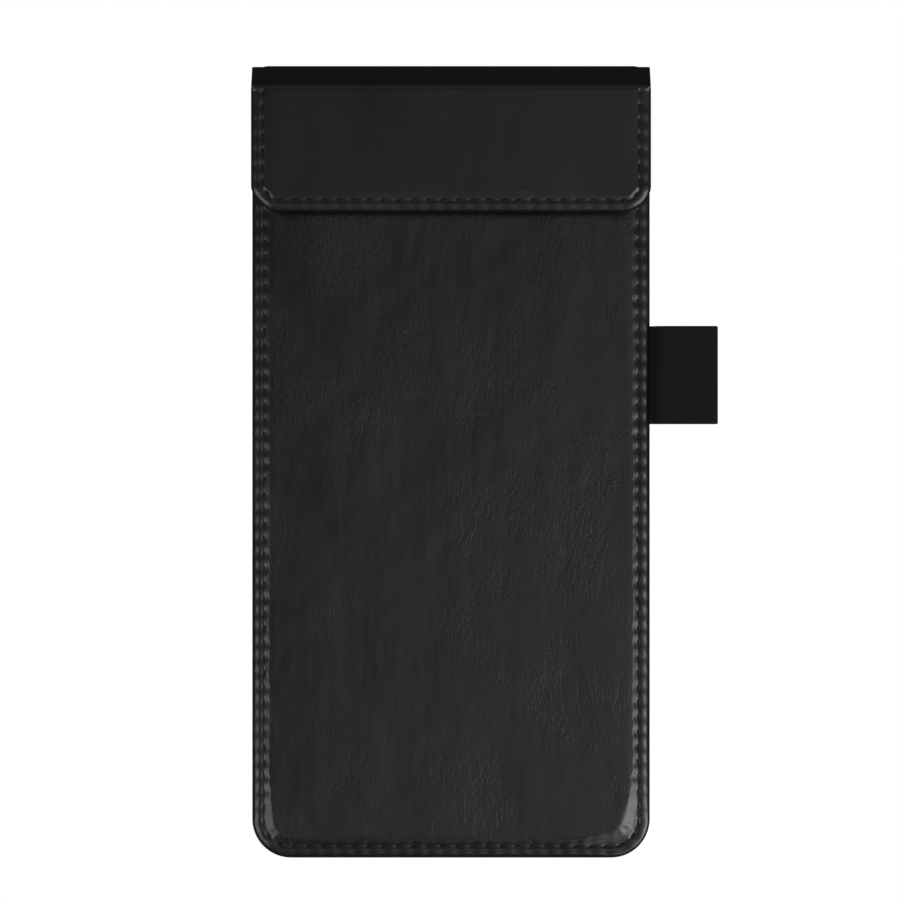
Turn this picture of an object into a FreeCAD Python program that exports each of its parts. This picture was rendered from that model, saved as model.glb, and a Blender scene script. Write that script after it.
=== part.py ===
import FreeCAD, Part
import math
import os

import Sketcher
from FreeCAD import Placement, Rotation, Vector

# Order pad holder: a stiff board between two stitched leather covers. A second, short board
# in its own covers is the flap, which folds over the top of the pad and is held by magnets.
# The two are joined by a soft leather spine with a fold at each of its edges, and a loop of
# elastic webbing for the pen is sewn into the right-hand edge.
# Frame: millimetres, the holder lies open side up on its back face. Z = 0 is that face,
# +Z the side that carries the pad, +Y towards the spine, +X towards the pen loop.
# The origin is the middle of the back face.

SIZES = {
    # Body outline
    "width": 115.0,
    "length": 230.0,
    "corner_radius": 11.0,
    # Leather and filling, from the back face upwards
    "leather": 0.8,
    "board_thickness": 2.0,
    "foam_thickness": 1.0,
    "hem_width": 4.6,
    "board_play": 0.2,
    "panel_edge_radius": 1.2,
    "rim_edge_radius": 0.5,
    # Gutter between the sewn panel and the first fold
    "gutter_length": 9.4,
    "fold_play": 0.1,
    "lining_play": 0.8,
    # Seams
    "seam_inset": 3.1,
    "seam_bed_width": 1.5,
    "seam_bed_depth": 0.45,
    "stitch_pitch": 4.3,
    "thread_radius": 0.22,
    "stitch_bend_radius": 0.3,
    "needle_hole_radius": 0.62,
    # Spine, how far its upper fold sits inside the lower one
    "spine_setback": 5.5,
    "spine_lining_bevel": 1.3,
    # Flap
    "flap_overhang": 0.4,
    "flap_reach": 36.3,
    "flap_corner_radius": 7.5,
    "flap_board_thickness": 1.9,
    "flap_clearance": 0.3,
    "flap_taper_length": 3.2,
    # Magnets and the steel plate that they hold on to
    "magnet_length": 20.0,
    "magnet_width": 10.0,
    "magnet_thickness": 1.5,
    "magnet_margin": 4.1,
    "magnet_line": 11.6,
    "magnet_play": 0.2,
    "strike_margin": 2.7,
    "strike_width": 14.0,
    "strike_thickness": 0.6,
    # Pen loop
    "webbing": 0.8,
    "loop_width": 28.5,
    "loop_offset": 25.0,
    "loop_reach": 20.0,
    "loop_height": 6.1,
    "loop_lean": 1.7,
    "loop_corner_radius": 1.9,
    "loop_lift": 0.1,
    "loop_slot_play": 0.1,
}
MAGNET_COUNT = 4

# Places that follow from the sizes, written as expressions on the sheet
HALF_WIDTH = "sizes.width / 2"
FREE_END = "(-sizes.length / 2)"
PANEL_END = "(sizes.length / 2 - sizes.gutter_length)"
HEM_END = f"({PANEL_END} - sizes.hem_width)"
SEAM_PLANE = "(2 * sizes.leather)"
RIM_TOP = "(4 * sizes.leather)"
BOARD_TOP = "(sizes.leather + sizes.board_thickness)"
FOAM_TOP = f"({BOARD_TOP} + sizes.foam_thickness)"
PANEL_TOP = f"({FOAM_TOP} + sizes.leather)"
BOARD_INSET = "(sizes.hem_width + sizes.board_play)"
BED_OUTER = "(sizes.seam_inset - sizes.seam_bed_width / 2)"
BED_INNER = "(sizes.seam_inset + sizes.seam_bed_width / 2)"

LOW_FOLD_Y = "(sizes.length / 2 - sizes.leather)"
LOW_FOLD_Z = "sizes.leather"
FLAP_UNDER = f"({PANEL_TOP} + sizes.flap_clearance)"
FLAP_SEAM_PLANE = f"({FLAP_UNDER} + 2 * sizes.leather)"
FLAP_RIM_TOP = f"({FLAP_UNDER} + 4 * sizes.leather)"
FLAP_BOARD_FLOOR = f"({FLAP_UNDER} + sizes.leather)"
FLAP_BOARD_TOP = f"({FLAP_BOARD_FLOOR} + sizes.flap_board_thickness)"
FLAP_TOP = f"({FLAP_BOARD_TOP} + sizes.leather)"
HIGH_FOLD_Y = f"({LOW_FOLD_Y} - sizes.spine_setback)"
HIGH_FOLD_Z = FLAP_BOARD_TOP
SPINE_RISE = f"({HIGH_FOLD_Z} - {LOW_FOLD_Z})"
SPINE_LENGTH = f"sqrt({SPINE_RISE} ^ 2 + sizes.spine_setback ^ 2)"
FLAP_HALF_WIDTH = "(sizes.width / 2 + sizes.flap_overhang)"
FLAP_FREE_END = f"({HIGH_FOLD_Y} - sizes.flap_reach)"
FLAP_FOLD_END = f"({HIGH_FOLD_Y} - sizes.leather - sizes.fold_play)"
FLAP_TAPER_START = f"({FLAP_FOLD_END} - sizes.flap_taper_length)"
MAGNET_LINE_Y = f"({FLAP_FREE_END} + sizes.magnet_line)"
MAGNET_ROW = f"(2 * ({FLAP_HALF_WIDTH} - {BOARD_INSET} - sizes.magnet_margin))"
MAGNET_STEP = f"(({MAGNET_ROW} - sizes.magnet_length) / {MAGNET_COUNT - 1})"
STRIKE_REACH = f"({HALF_WIDTH} - {BOARD_INSET} - sizes.strike_margin)"

LOOP_AXIS_X = "(sizes.width / 2 + sizes.webbing)"
PAST = "1"

document = FreeCAD.newDocument("order_pad_holder")
sheet = document.addObject("Spreadsheet::Sheet", "sizes")
for row, (alias, size) in enumerate(SIZES.items(), start=1):
    sheet.set(f"A{row}", alias)
    sheet.set(f"B{row}", str(size))
    sheet.setAlias(f"B{row}", alias)
document.recompute()


def value(expression):
    """The number, in millimetres or degrees, that an expression on the sheet gives."""
    return float(sheet.evalExpression(expression))


# Sketches and features

def new_body(label):
    body = document.addObject("PartDesign::Body", label)
    body.Label = label
    return body


def new_sketch(body, name, plane, offset="0"):
    """An empty sketch on one of the body's own origin planes, moved along its normal."""
    sketch = body.newObject("Sketcher::SketchObject", name)
    support = next(item for item in body.Origin.OriginFeatures if item.Role == plane)
    sketch.AttachmentSupport = [(support, "")]
    sketch.MapMode = "FlatFace"
    sketch.setExpression("AttachmentOffset.Base.z", offset)
    return sketch


def bind(sketch, name, kind, places, expression):
    """Add a named dimension to the sketch and bind it to an expression."""
    number = sketch.addConstraint(Sketcher.Constraint(kind, *places, value(expression)))
    sketch.renameConstraint(number, name)
    sketch.setExpression(f"Constraints.{name}", expression)


def draw_tongue(sketch, prefix, half_width, low_end, high_end, radius):
    """Two long sides, two rounded lower corners and two square upper ones."""
    side, low, high, bend = (value(item) for item in (half_width, low_end, high_end, radius))
    first = sketch.GeometryCount
    left_arc = Part.Circle(Vector(-side + bend, low + bend, 0), Vector(0, 0, 1), bend)
    right_arc = Part.Circle(Vector(side - bend, low + bend, 0), Vector(0, 0, 1), bend)
    sketch.addGeometry([
        Part.LineSegment(Vector(-side, high, 0), Vector(-side, low + bend, 0)),
        Part.ArcOfCircle(left_arc, math.pi, 1.5 * math.pi),
        Part.LineSegment(Vector(-side + bend, low, 0), Vector(side - bend, low, 0)),
        Part.ArcOfCircle(right_arc, 1.5 * math.pi, 2 * math.pi),
        Part.LineSegment(Vector(side, low + bend, 0), Vector(side, high, 0)),
        Part.LineSegment(Vector(side, high, 0), Vector(-side, high, 0)),
    ], False)
    left, left_corner, bottom, right_corner, right, top = range(first, first + 6)
    tangent_chain = (left, left_corner, bottom, right_corner, right)
    for before, after in zip(tangent_chain, tangent_chain[1:]):
        sketch.addConstraint(Sketcher.Constraint("Tangent", before, 2, after, 1))
    sketch.addConstraint([
        Sketcher.Constraint("Coincident", right, 2, top, 1),
        Sketcher.Constraint("Coincident", top, 2, left, 1),
        Sketcher.Constraint("Vertical", left),
        Sketcher.Constraint("Vertical", right),
        Sketcher.Constraint("Horizontal", bottom),
        Sketcher.Constraint("Horizontal", top),
        Sketcher.Constraint("Equal", left_corner, right_corner),
    ])
    bind(sketch, f"{prefix}_left", "DistanceX", (-1, 1, left, 1), f"-({half_width})")
    bind(sketch, f"{prefix}_right", "DistanceX", (-1, 1, right, 1), half_width)
    bind(sketch, f"{prefix}_low", "DistanceY", (-1, 1, bottom, 1), low_end)
    bind(sketch, f"{prefix}_high", "DistanceY", (-1, 1, right, 2), high_end)
    bind(sketch, f"{prefix}_corner", "Radius", (left_corner,), radius)


def draw_polygon(sketch, corners):
    """Straight sides through corners, whose two coordinates are expressions."""
    points = [Vector(value(across), value(up), 0) for across, up in corners]
    count = len(points)
    sides = [Part.LineSegment(points[n], points[(n + 1) % count]) for n in range(count)]
    sketch.addGeometry(sides, False)
    for n in range(count):
        sketch.addConstraint(Sketcher.Constraint("Coincident", n, 2, (n + 1) % count, 1))
    for n, (across, up) in enumerate(corners):
        bind(sketch, f"across_{n}", "DistanceX", (-1, 1, n, 1), across)
        bind(sketch, f"up_{n}", "DistanceY", (-1, 1, n, 1), up)


def draw_circle(sketch, up, radius):
    """A circle centred on the sketch's upright axis."""
    circle = Part.Circle(Vector(0, value(up), 0), Vector(0, 0, 1), value(radius))
    number = sketch.addGeometry(circle, False)
    bind(sketch, "centre_across", "DistanceX", (-1, 1, number, 3), "0")
    bind(sketch, "centre_up", "DistanceY", (-1, 1, number, 3), up)
    bind(sketch, "radius", "Radius", (number,), radius)


def pad(body, sketch, length, downward=False, symmetric=False):
    feature = body.newObject("PartDesign::Pad", f"{sketch.Name}_pad")
    feature.Profile = sketch
    if symmetric:
        feature.SideType = "Symmetric"
    feature.Reversed = downward
    feature.setExpression("Length", length)
    sketch.Visibility = False
    document.recompute()
    return feature


def carve(body, sketch, depth, upward=False):
    """Cut the sketch's area out of the body, and make sure that leather did come away."""
    before = body.Shape.Volume
    feature = body.newObject("PartDesign::Pocket", f"{sketch.Name}_pocket")
    feature.Profile = sketch
    feature.Reversed = upward
    feature.setExpression("Length", depth)
    sketch.Visibility = False
    document.recompute()
    if not body.Shape.Volume < before:
        raise ValueError(f"{feature.Name} cuts nothing")
    return feature


def round_edges(body, name, radius, keep):
    """Round the edges of the body that the test keeps."""
    document.recompute()
    last = body.Tip
    names = [f"Edge{number}" for number, edge in enumerate(last.Shape.Edges, start=1) if keep(edge)]
    fillet = body.newObject("PartDesign::Fillet", name)
    fillet.Base = (last, names)
    fillet.setExpression("Radius", radius)
    document.recompute()


def is_level(edge, height):
    box = edge.BoundBox
    return abs(box.ZMin - height) < 1e-6 and abs(box.ZMax - height) < 1e-6


def block(label, left, right, low, high, floor, top):
    """A Part box between six planes, given as expressions."""
    box = document.addObject("Part::Box", label)
    box.Label = label
    box.setExpression("Length", f"{right} - ({left})")
    box.setExpression("Width", f"{high} - ({low})")
    box.setExpression("Height", f"{top} - ({floor})")
    box.setExpression("Placement.Base.x", left)
    box.setExpression("Placement.Base.y", low)
    box.setExpression("Placement.Base.z", floor)
    return box


def boolean(kind, label, base, tool):
    feature = document.addObject(f"Part::{kind}", label)
    feature.Label = label
    feature.Base = base
    feature.Tool = tool
    return feature


# Outlines that the pieces share, each set in from an edge by a named amount

def body_outline(body, name, level, inset, high_end):
    sketch = new_sketch(body, name, "XY_Plane", level)
    draw_tongue(sketch, "edge", f"{HALF_WIDTH} - {inset}", f"{FREE_END} + {inset}", high_end,
                f"sizes.corner_radius - {inset}")
    return sketch


def flap_outline(body, name, level, inset, high_end):
    sketch = new_sketch(body, name, "XY_Plane", level)
    draw_tongue(sketch, "edge", f"{FLAP_HALF_WIDTH} - {inset}", f"{FLAP_FREE_END} + {inset}",
                high_end, f"sizes.flap_corner_radius - {inset}")
    return sketch


# Seams. Needle holes lie at even steps along a line set in from the edge. Each stitch goes
# down one hole and up the next, and the front and back threads lock at the seam's middle.

def tongue_seam(half_width, low_end, high_end, radius):
    """Needle places down the left side, round the free end and up the right side."""
    side, low, high, bend = (value(item) for item in (half_width, low_end, high_end, radius))
    tip = bend * (1 - math.sqrt(0.5))
    runs = [
        Part.LineSegment(Vector(-side, high, 0), Vector(-side, low + bend, 0)),
        Part.Arc(Vector(-side, low + bend, 0), Vector(-side + tip, low + tip, 0),
                 Vector(-side + bend, low, 0)),
        Part.LineSegment(Vector(-side + bend, low, 0), Vector(side - bend, low, 0)),
        Part.Arc(Vector(side - bend, low, 0), Vector(side - tip, low + tip, 0),
                 Vector(side, low + bend, 0)),
        Part.LineSegment(Vector(side, low + bend, 0), Vector(side, high, 0)),
    ]
    wire = Part.Wire([run.toShape() for run in runs])
    return wire.discretize(Number=round(wire.Length / value("sizes.stitch_pitch")) + 1)


def straight_seam(half_width, place_y):
    """Needle places along a straight line across the holder."""
    side, across = value(half_width), value(place_y)
    count = round(2 * side / value("sizes.stitch_pitch"))
    return [Vector(-side + 2 * side * n / count, across, 0) for n in range(count + 1)]


def needle_holes(label, seams, floor, top):
    """One pin for each needle place, to be cut out of the layers that the seam goes through."""
    base = value(floor) - 1
    height = value(top) - base + 1
    radius = value("sizes.needle_hole_radius")
    pins = []
    for place in (place for seam in seams for place in seam):
        pins.append(Part.makeCylinder(radius, height, place + Vector(0, 0, base)))
    feature = document.addObject("Part::Feature", label)
    feature.Shape = Part.makeCompound(pins)
    return feature


def stitch(start, end, bed, lock):
    """One staple of thread: a crown that lies on the bed and two legs down to the lock."""
    thread = value("sizes.thread_radius")
    bend = value("sizes.stitch_bend_radius")
    outward = 1 if bed > lock else -1
    step = (end - start).normalize()
    crown = bed + outward * thread
    slack = thread * 1.3
    corner = bend * (1 - math.sqrt(0.5))

    def at(place, along, level):
        return Vector(place.x, place.y, 0) + step * along + Vector(0, 0, level)

    knee = crown - outward * bend
    middle = crown - outward * corner
    path = Part.Wire([
        Part.LineSegment(at(start, slack, lock), at(start, slack, knee)).toShape(),
        Part.Arc(at(start, slack, knee), at(start, slack + corner, middle),
                 at(start, slack + bend, crown)).toShape(),
        Part.LineSegment(at(start, slack + bend, crown), at(end, -slack - bend, crown)).toShape(),
        Part.Arc(at(end, -slack - bend, crown), at(end, -slack - corner, middle),
                 at(end, -slack, knee)).toShape(),
        Part.LineSegment(at(end, -slack, knee), at(end, -slack, lock)).toShape(),
    ])
    section = Part.Wire(Part.Circle(at(start, slack, lock), Vector(0, 0, 1), thread).toShape())
    return path.makePipeShell([section], True, False)


def stitching(label, seams, bed, lock):
    """Every stitch of one thread, as separate staples in one node."""
    bed_level, lock_level = value(bed), value(lock)
    staples = []
    for seam in seams:
        for start, end in zip(seam, seam[1:]):
            staples.append(stitch(start, end, bed_level, lock_level))
    feature = document.addObject("Part::Feature", label)
    feature.Shape = Part.makeCompound(staples)
    feature.Label = label
    return feature


# Body

def make_core_board():
    """Stiff board with a shallow pocket for the steel plate."""
    body = new_body("core_board")
    outline = body_outline(body, "board_edge", "sizes.leather", BOARD_INSET, f"{HEM_END} - sizes.board_play")
    pad(body, outline, "sizes.board_thickness")
    recess = new_sketch(body, "plate_recess", "XY_Plane", BOARD_TOP)
    reach = f"({STRIKE_REACH} + sizes.magnet_play)"
    half = "(sizes.strike_width / 2 + sizes.magnet_play)"
    draw_polygon(recess, (
        (f"-{reach}", f"{MAGNET_LINE_Y} - {half}"), (reach, f"{MAGNET_LINE_Y} - {half}"),
        (reach, f"{MAGNET_LINE_Y} + {half}"), (f"-{reach}", f"{MAGNET_LINE_Y} + {half}"),
    ))
    carve(body, recess, "sizes.strike_thickness")
    return body


def make_strike_plate():
    return block(
        "strike_plate", f"-{STRIKE_REACH}", STRIKE_REACH,
        f"{MAGNET_LINE_Y} - sizes.strike_width / 2", f"{MAGNET_LINE_Y} + sizes.strike_width / 2",
        f"{BOARD_TOP} - sizes.strike_thickness", BOARD_TOP)


def make_foam_pad():
    """Thin foam on the board, under the front leather, with a softened upper edge."""
    body = new_body("foam_pad")
    outline = body_outline(body, "foam_edge", BOARD_TOP, BOARD_INSET, f"{HEM_END} - sizes.board_play")
    pad(body, outline, "sizes.foam_thickness")
    top = value(FOAM_TOP)
    round_edges(body, "foam_shoulder", "sizes.foam_thickness * 0.4", lambda edge: is_level(edge, top))
    return body


def loop_slot(body, name, level):
    """Outline of the slot in a hem for the pen loop's sewn-in tails."""
    sketch = new_sketch(body, name, "XY_Plane", level)
    inner = f"{HALF_WIDTH} - sizes.hem_width - sizes.loop_slot_play"
    low = "sizes.loop_offset - sizes.loop_width / 2 - sizes.loop_slot_play"
    high = "sizes.loop_offset + sizes.loop_width / 2 + sizes.loop_slot_play"
    outer = f"{HALF_WIDTH} + {PAST}"
    draw_polygon(sketch, ((inner, low), (outer, low), (outer, high), (inner, high)))
    return sketch


def make_front_cover():
    """Front leather: a hemmed rim with a sunk seam bed, drawn tight over the padded board."""
    body = new_body("front_cover_blank")
    rim = body_outline(body, "front_rim", SEAM_PLANE, "0", PANEL_END)
    pad(body, rim, f"{RIM_TOP} - {SEAM_PLANE}")
    bed = body_outline(body, "front_bed", RIM_TOP, BED_OUTER, f"{PANEL_END} - {BED_OUTER}")
    carve(body, bed, "sizes.seam_bed_depth")
    panel = body_outline(body, "front_panel", SEAM_PLANE, BED_INNER, f"{PANEL_END} - {BED_INNER}")
    pad(body, panel, f"{PANEL_TOP} - {SEAM_PLANE}")
    cavity = body_outline(body, "front_cavity", SEAM_PLANE, "sizes.hem_width", HEM_END)
    carve(body, cavity, f"{FOAM_TOP} - {SEAM_PLANE}", upward=True)
    carve(body, loop_slot(body, "front_slot", SEAM_PLANE), "sizes.webbing", upward=True)
    top = value(PANEL_TOP)
    round_edges(body, "front_shoulder", "sizes.panel_edge_radius", lambda edge: is_level(edge, top))
    lip, outside, low_end = outer_line(RIM_TOP, HALF_WIDTH, FREE_END)
    round_edges(body, "front_lip", "sizes.rim_edge_radius",
                lambda edge: is_level(edge, lip) and on_outer_line(edge, outside, low_end))
    return body


def outer_line(level, half_width, low_end):
    """A height, and how far out an edge lies at least when it is outside the seam bed."""
    return value(level), value(f"{half_width} - {BED_OUTER}"), value(f"{low_end} + {BED_OUTER}")


def on_outer_line(edge, side, low_end):
    """True for an edge on the outermost line of a cover, not for one round its seam bed."""
    box = edge.BoundBox
    return box.XMax > side + 1e-3 or box.XMin < -side - 1e-3 or box.YMin < low_end - 1e-3


def make_back_cover():
    """Back leather: flat against the table, hemmed on three sides, single towards the fold."""
    body = new_body("back_cover_blank")
    fold_end = f"{LOW_FOLD_Y} - sizes.leather - sizes.fold_play"
    sheet_edge = body_outline(body, "back_sheet", "0", "0", fold_end)
    pad(body, sheet_edge, "sizes.leather")
    hem = body_outline(body, "back_hem", "sizes.leather", "0", HEM_END)
    pad(body, hem, f"{SEAM_PLANE} - sizes.leather")
    cavity = body_outline(body, "back_cavity", SEAM_PLANE, "sizes.hem_width", f"{HEM_END} + {PAST}")
    carve(body, cavity, f"{SEAM_PLANE} - sizes.leather")
    bed = new_sketch(body, "back_bed", "XY_Plane")
    for prefix, inset in (("outer", BED_OUTER), ("inner", BED_INNER)):
        draw_tongue(bed, prefix, f"{HALF_WIDTH} - {inset}", f"{FREE_END} + {inset}",
                    f"{PANEL_END} - {inset}", f"sizes.corner_radius - {inset}")
    carve(body, bed, "sizes.seam_bed_depth", upward=True)
    slot = loop_slot(body, "back_slot", SEAM_PLANE)
    carve(body, slot, "sizes.webbing")
    lip, outside, low_end = outer_line("0", HALF_WIDTH, FREE_END)
    round_edges(body, "back_lip", "sizes.rim_edge_radius",
                lambda edge: is_level(edge, lip) and on_outer_line(edge, outside, low_end))
    return body


def make_gutter_lining():
    """Inner leather of the gutter, sewn in under the panel's top rim."""
    return block(
        "gutter_lining_blank", f"-({HALF_WIDTH})", HALF_WIDTH,
        f"{HEM_END} + sizes.board_play",
        f"{LOW_FOLD_Y} - sizes.leather - sizes.lining_play",
        "sizes.leather", SEAM_PLANE)


# Pen loop

def make_loop_anchor():
    """The webbing's two tails, one on the other, sewn into the rim."""
    return block(
        "pen_loop_anchor_blank", f"{HALF_WIDTH} - sizes.hem_width",
        f"{LOOP_AXIS_X} - sizes.webbing - sizes.fold_play",
        "sizes.loop_offset - sizes.loop_width / 2", "sizes.loop_offset + sizes.loop_width / 2",
        f"{SEAM_PLANE} - sizes.webbing", f"{SEAM_PLANE} + sizes.webbing")


def loop_outline(body, name, wall):
    """Section of the sleeve, or of its inside where a wall is given, leaning out from the rim."""
    sketch = new_sketch(body, name, "XZ_Plane")
    floor = f"sizes.loop_lift - {SEAM_PLANE}"
    tilt = "sizes.loop_lean / sizes.loop_height"
    shift = f"{wall} * sqrt(1 + ({tilt}) ^ 2)"
    right = f"sizes.loop_reach - sizes.webbing - {wall}"
    low = f"{floor} + {wall}"
    high = f"{floor} + sizes.loop_height - {wall}"
    draw_polygon(sketch, (
        (f"{tilt} * {wall} + {shift}", low), (right, low), (right, high),
        (f"{tilt} * (sizes.loop_height - {wall}) + {shift}", high),
    ))
    return sketch


def is_lengthwise(edge):
    """True for a straight edge along the pen."""
    return edge.BoundBox.XLength < 1e-6 and edge.BoundBox.ZLength < 1e-6


def make_pen_loop():
    """Flat elastic sleeve, with a bead where it swings about the edge of the rim."""
    body = new_body("pen_loop")
    body.setExpression("Placement.Base.x", LOOP_AXIS_X)
    body.setExpression("Placement.Base.y", "sizes.loop_offset")
    body.setExpression("Placement.Base.z", SEAM_PLANE)
    pad(body, loop_outline(body, "sleeve", "0"), "sizes.loop_width", symmetric=True)
    round_edges(body, "sleeve_corners", "sizes.loop_corner_radius", is_lengthwise)
    outside = list(body.Tip.Shape.Edges)
    inside = carve(body, loop_outline(body, "sleeve_inside", "sizes.webbing"), f"sizes.loop_width + {PAST}")
    inside.SideType = "Symmetric"
    document.recompute()
    round_edges(body, "inside_corners", "sizes.loop_corner_radius - sizes.webbing",
                lambda edge: is_lengthwise(edge) and not any(same_line(edge, old) for old in outside))
    bead = new_sketch(body, "loop_bead", "XZ_Plane")
    draw_circle(bead, "0", "sizes.webbing")
    pad(body, bead, "sizes.loop_width", symmetric=True)
    return body


def same_line(edge, other):
    return (edge.CenterOfMass - other.CenterOfMass).Length < 1e-6


# Spine. Both pieces share a frame whose Z runs from the lower fold to the upper one.

def set_spine_place(body):
    body.setExpression("Placement.Base.y", LOW_FOLD_Y)
    body.setExpression("Placement.Base.z", LOW_FOLD_Z)
    lean = f"atan(sizes.spine_setback / {SPINE_RISE})"
    body.Placement = Placement(body.Placement.Base, Rotation(Vector(1, 0, 0), value(lean)))
    body.setExpression("Placement.Rotation.Angle", lean)


def make_spine_cover():
    """Outer leather of the spine, with a round bead along each fold."""
    body = new_body("spine_cover")
    set_spine_place(body)
    strip = new_sketch(body, "spine_strip", "YZ_Plane")
    draw_polygon(strip, (
        ("0", "0"), ("sizes.leather", "0"), ("sizes.leather", SPINE_LENGTH), ("0", SPINE_LENGTH)))
    pad(body, strip, f"2 * {FLAP_HALF_WIDTH}", symmetric=True)
    for name, up in (("low_bead", "0"), ("high_bead", SPINE_LENGTH)):
        bead = new_sketch(body, name, "YZ_Plane")
        draw_circle(bead, up, "sizes.leather")
        pad(body, bead, f"2 * {FLAP_HALF_WIDTH}", symmetric=True)
    return body


def make_spine_lining():
    """Inner leather of the spine, bevelled towards both folds so that they can close."""
    body = new_body("spine_lining")
    set_spine_place(body)
    near = "(sizes.leather + 2 * sizes.fold_play)"
    far = f"({near} + sizes.spine_lining_bevel)"
    strip = new_sketch(body, "lining_strip", "YZ_Plane")
    draw_polygon(strip, (
        ("0", near), ("0", f"{SPINE_LENGTH} - {near}"),
        ("-sizes.leather", f"{SPINE_LENGTH} - {far}"), ("-sizes.leather", far)))
    pad(body, strip, "sizes.width", symmetric=True)
    return body


# Flap

def magnet_places():
    """Sheet expressions for the middle of each magnet across the flap."""
    middle = (MAGNET_COUNT - 1) / 2
    return [f"{n - middle} * {MAGNET_STEP}" for n in range(MAGNET_COUNT)]


def make_flap_board():
    """Stiff board of the flap, with a pocket for each magnet on its underside."""
    body = new_body("flap_board")
    outline = flap_outline(body, "flap_board_edge", FLAP_BOARD_FLOOR, BOARD_INSET,
                           f"{FLAP_TAPER_START} - sizes.board_play")
    pad(body, outline, "sizes.flap_board_thickness")
    reach = "(sizes.magnet_length / 2 + sizes.magnet_play)"
    half = "(sizes.magnet_width / 2 + sizes.magnet_play)"
    for number, place in enumerate(magnet_places(), start=1):
        pocket = new_sketch(body, f"magnet_pocket_{number}", "XY_Plane", FLAP_BOARD_FLOOR)
        draw_polygon(pocket, (
            (f"{place} - {reach}", f"{MAGNET_LINE_Y} - {half}"),
            (f"{place} + {reach}", f"{MAGNET_LINE_Y} - {half}"),
            (f"{place} + {reach}", f"{MAGNET_LINE_Y} + {half}"),
            (f"{place} - {reach}", f"{MAGNET_LINE_Y} + {half}"),
        ))
        carve(body, pocket, "sizes.magnet_thickness", upward=True)
    return body


def make_flap_magnets():
    """Flat bar magnets, flush with the underside of the flap's board."""
    magnets = []
    for number, place in enumerate(magnet_places(), start=1):
        magnets.append(block(
            f"magnet_{number}", f"{place} - sizes.magnet_length / 2", f"{place} + sizes.magnet_length / 2",
            f"{MAGNET_LINE_Y} - sizes.magnet_width / 2", f"{MAGNET_LINE_Y} + sizes.magnet_width / 2",
            FLAP_BOARD_FLOOR, f"{FLAP_BOARD_FLOOR} + sizes.magnet_thickness"))
    row = document.addObject("Part::Compound", "flap_magnets")
    row.Label = "flap_magnets"
    row.Links = magnets
    return row


def make_flap_cover():
    """Outer leather of the flap: a hemmed rim, a sunk seam bed and a panel over the board."""
    body = new_body("flap_cover_blank")
    rim = flap_outline(body, "flap_rim", FLAP_SEAM_PLANE, "0", FLAP_FOLD_END)
    pad(body, rim, f"{FLAP_RIM_TOP} - {FLAP_SEAM_PLANE}")
    past_fold = f"{FLAP_FOLD_END} + {PAST}"
    bed = flap_outline(body, "flap_bed", FLAP_RIM_TOP, BED_OUTER, past_fold)
    carve(body, bed, "sizes.seam_bed_depth")
    panel = flap_outline(body, "flap_panel", FLAP_SEAM_PLANE, BED_INNER, FLAP_FOLD_END)
    pad(body, panel, f"{FLAP_TOP} - {FLAP_SEAM_PLANE}")
    cavity = flap_outline(body, "flap_cavity", FLAP_SEAM_PLANE, "sizes.hem_width", past_fold)
    carve(body, cavity, f"{FLAP_BOARD_TOP} - {FLAP_SEAM_PLANE}", upward=True)
    top, fold = value(FLAP_TOP), value(FLAP_FOLD_END)
    round_edges(body, "flap_shoulder", "sizes.panel_edge_radius / 2",
                lambda edge: is_level(edge, top) and edge.BoundBox.YMin < fold - 1e-3)
    lip, outside, low_end = outer_line(FLAP_RIM_TOP, FLAP_HALF_WIDTH, FLAP_FREE_END)
    round_edges(body, "flap_lip", "sizes.rim_edge_radius",
                lambda edge: is_level(edge, lip) and edge.BoundBox.YMin < fold - 1e-3
                and on_outer_line(edge, outside, low_end))
    return body


def make_flap_lining():
    """Underside leather of the flap: flat under the board, rising to meet the fold beyond it."""
    body = new_body("flap_lining_blank")
    past_fold = f"{FLAP_FOLD_END} + {PAST}"
    rim = flap_outline(body, "under_rim", FLAP_UNDER, "0", FLAP_FOLD_END)
    pad(body, rim, f"{FLAP_SEAM_PLANE} - {FLAP_UNDER}")
    bed = flap_outline(body, "under_bed", FLAP_UNDER, BED_OUTER, past_fold)
    carve(body, bed, "sizes.seam_bed_depth", upward=True)
    panel = flap_outline(body, "under_panel", FLAP_UNDER, BED_INNER, FLAP_FOLD_END)
    pad(body, panel, f"{FLAP_SEAM_PLANE} - {FLAP_UNDER}")
    cavity = flap_outline(body, "under_cavity", FLAP_SEAM_PLANE, "sizes.hem_width", past_fold)
    carve(body, cavity, f"{FLAP_SEAM_PLANE} - {FLAP_BOARD_FLOOR}")
    gap = new_sketch(body, "under_gap", "XY_Plane", FLAP_SEAM_PLANE)
    side = f"({FLAP_HALF_WIDTH} - sizes.hem_width)"
    draw_polygon(gap, (
        (f"-{side}", FLAP_TAPER_START), (side, FLAP_TAPER_START), (side, past_fold), (f"-{side}", past_fold)))
    carve(body, gap, f"2 * sizes.leather + {PAST}")
    rise = new_sketch(body, "under_rise", "YZ_Plane")
    crest = f"({FLAP_FOLD_END} - sizes.leather)"
    draw_polygon(rise, (
        (FLAP_TAPER_START, FLAP_UNDER),
        (crest, f"{FLAP_BOARD_TOP} - sizes.leather"),
        (FLAP_FOLD_END, f"{FLAP_BOARD_TOP} - sizes.leather"),
        (FLAP_FOLD_END, FLAP_BOARD_TOP),
        (f"{crest} - sizes.leather / 2", FLAP_BOARD_TOP),
        (FLAP_TAPER_START, FLAP_BOARD_FLOOR),
    ))
    pad(body, rise, f"2 * {side}", symmetric=True)
    return body


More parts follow.
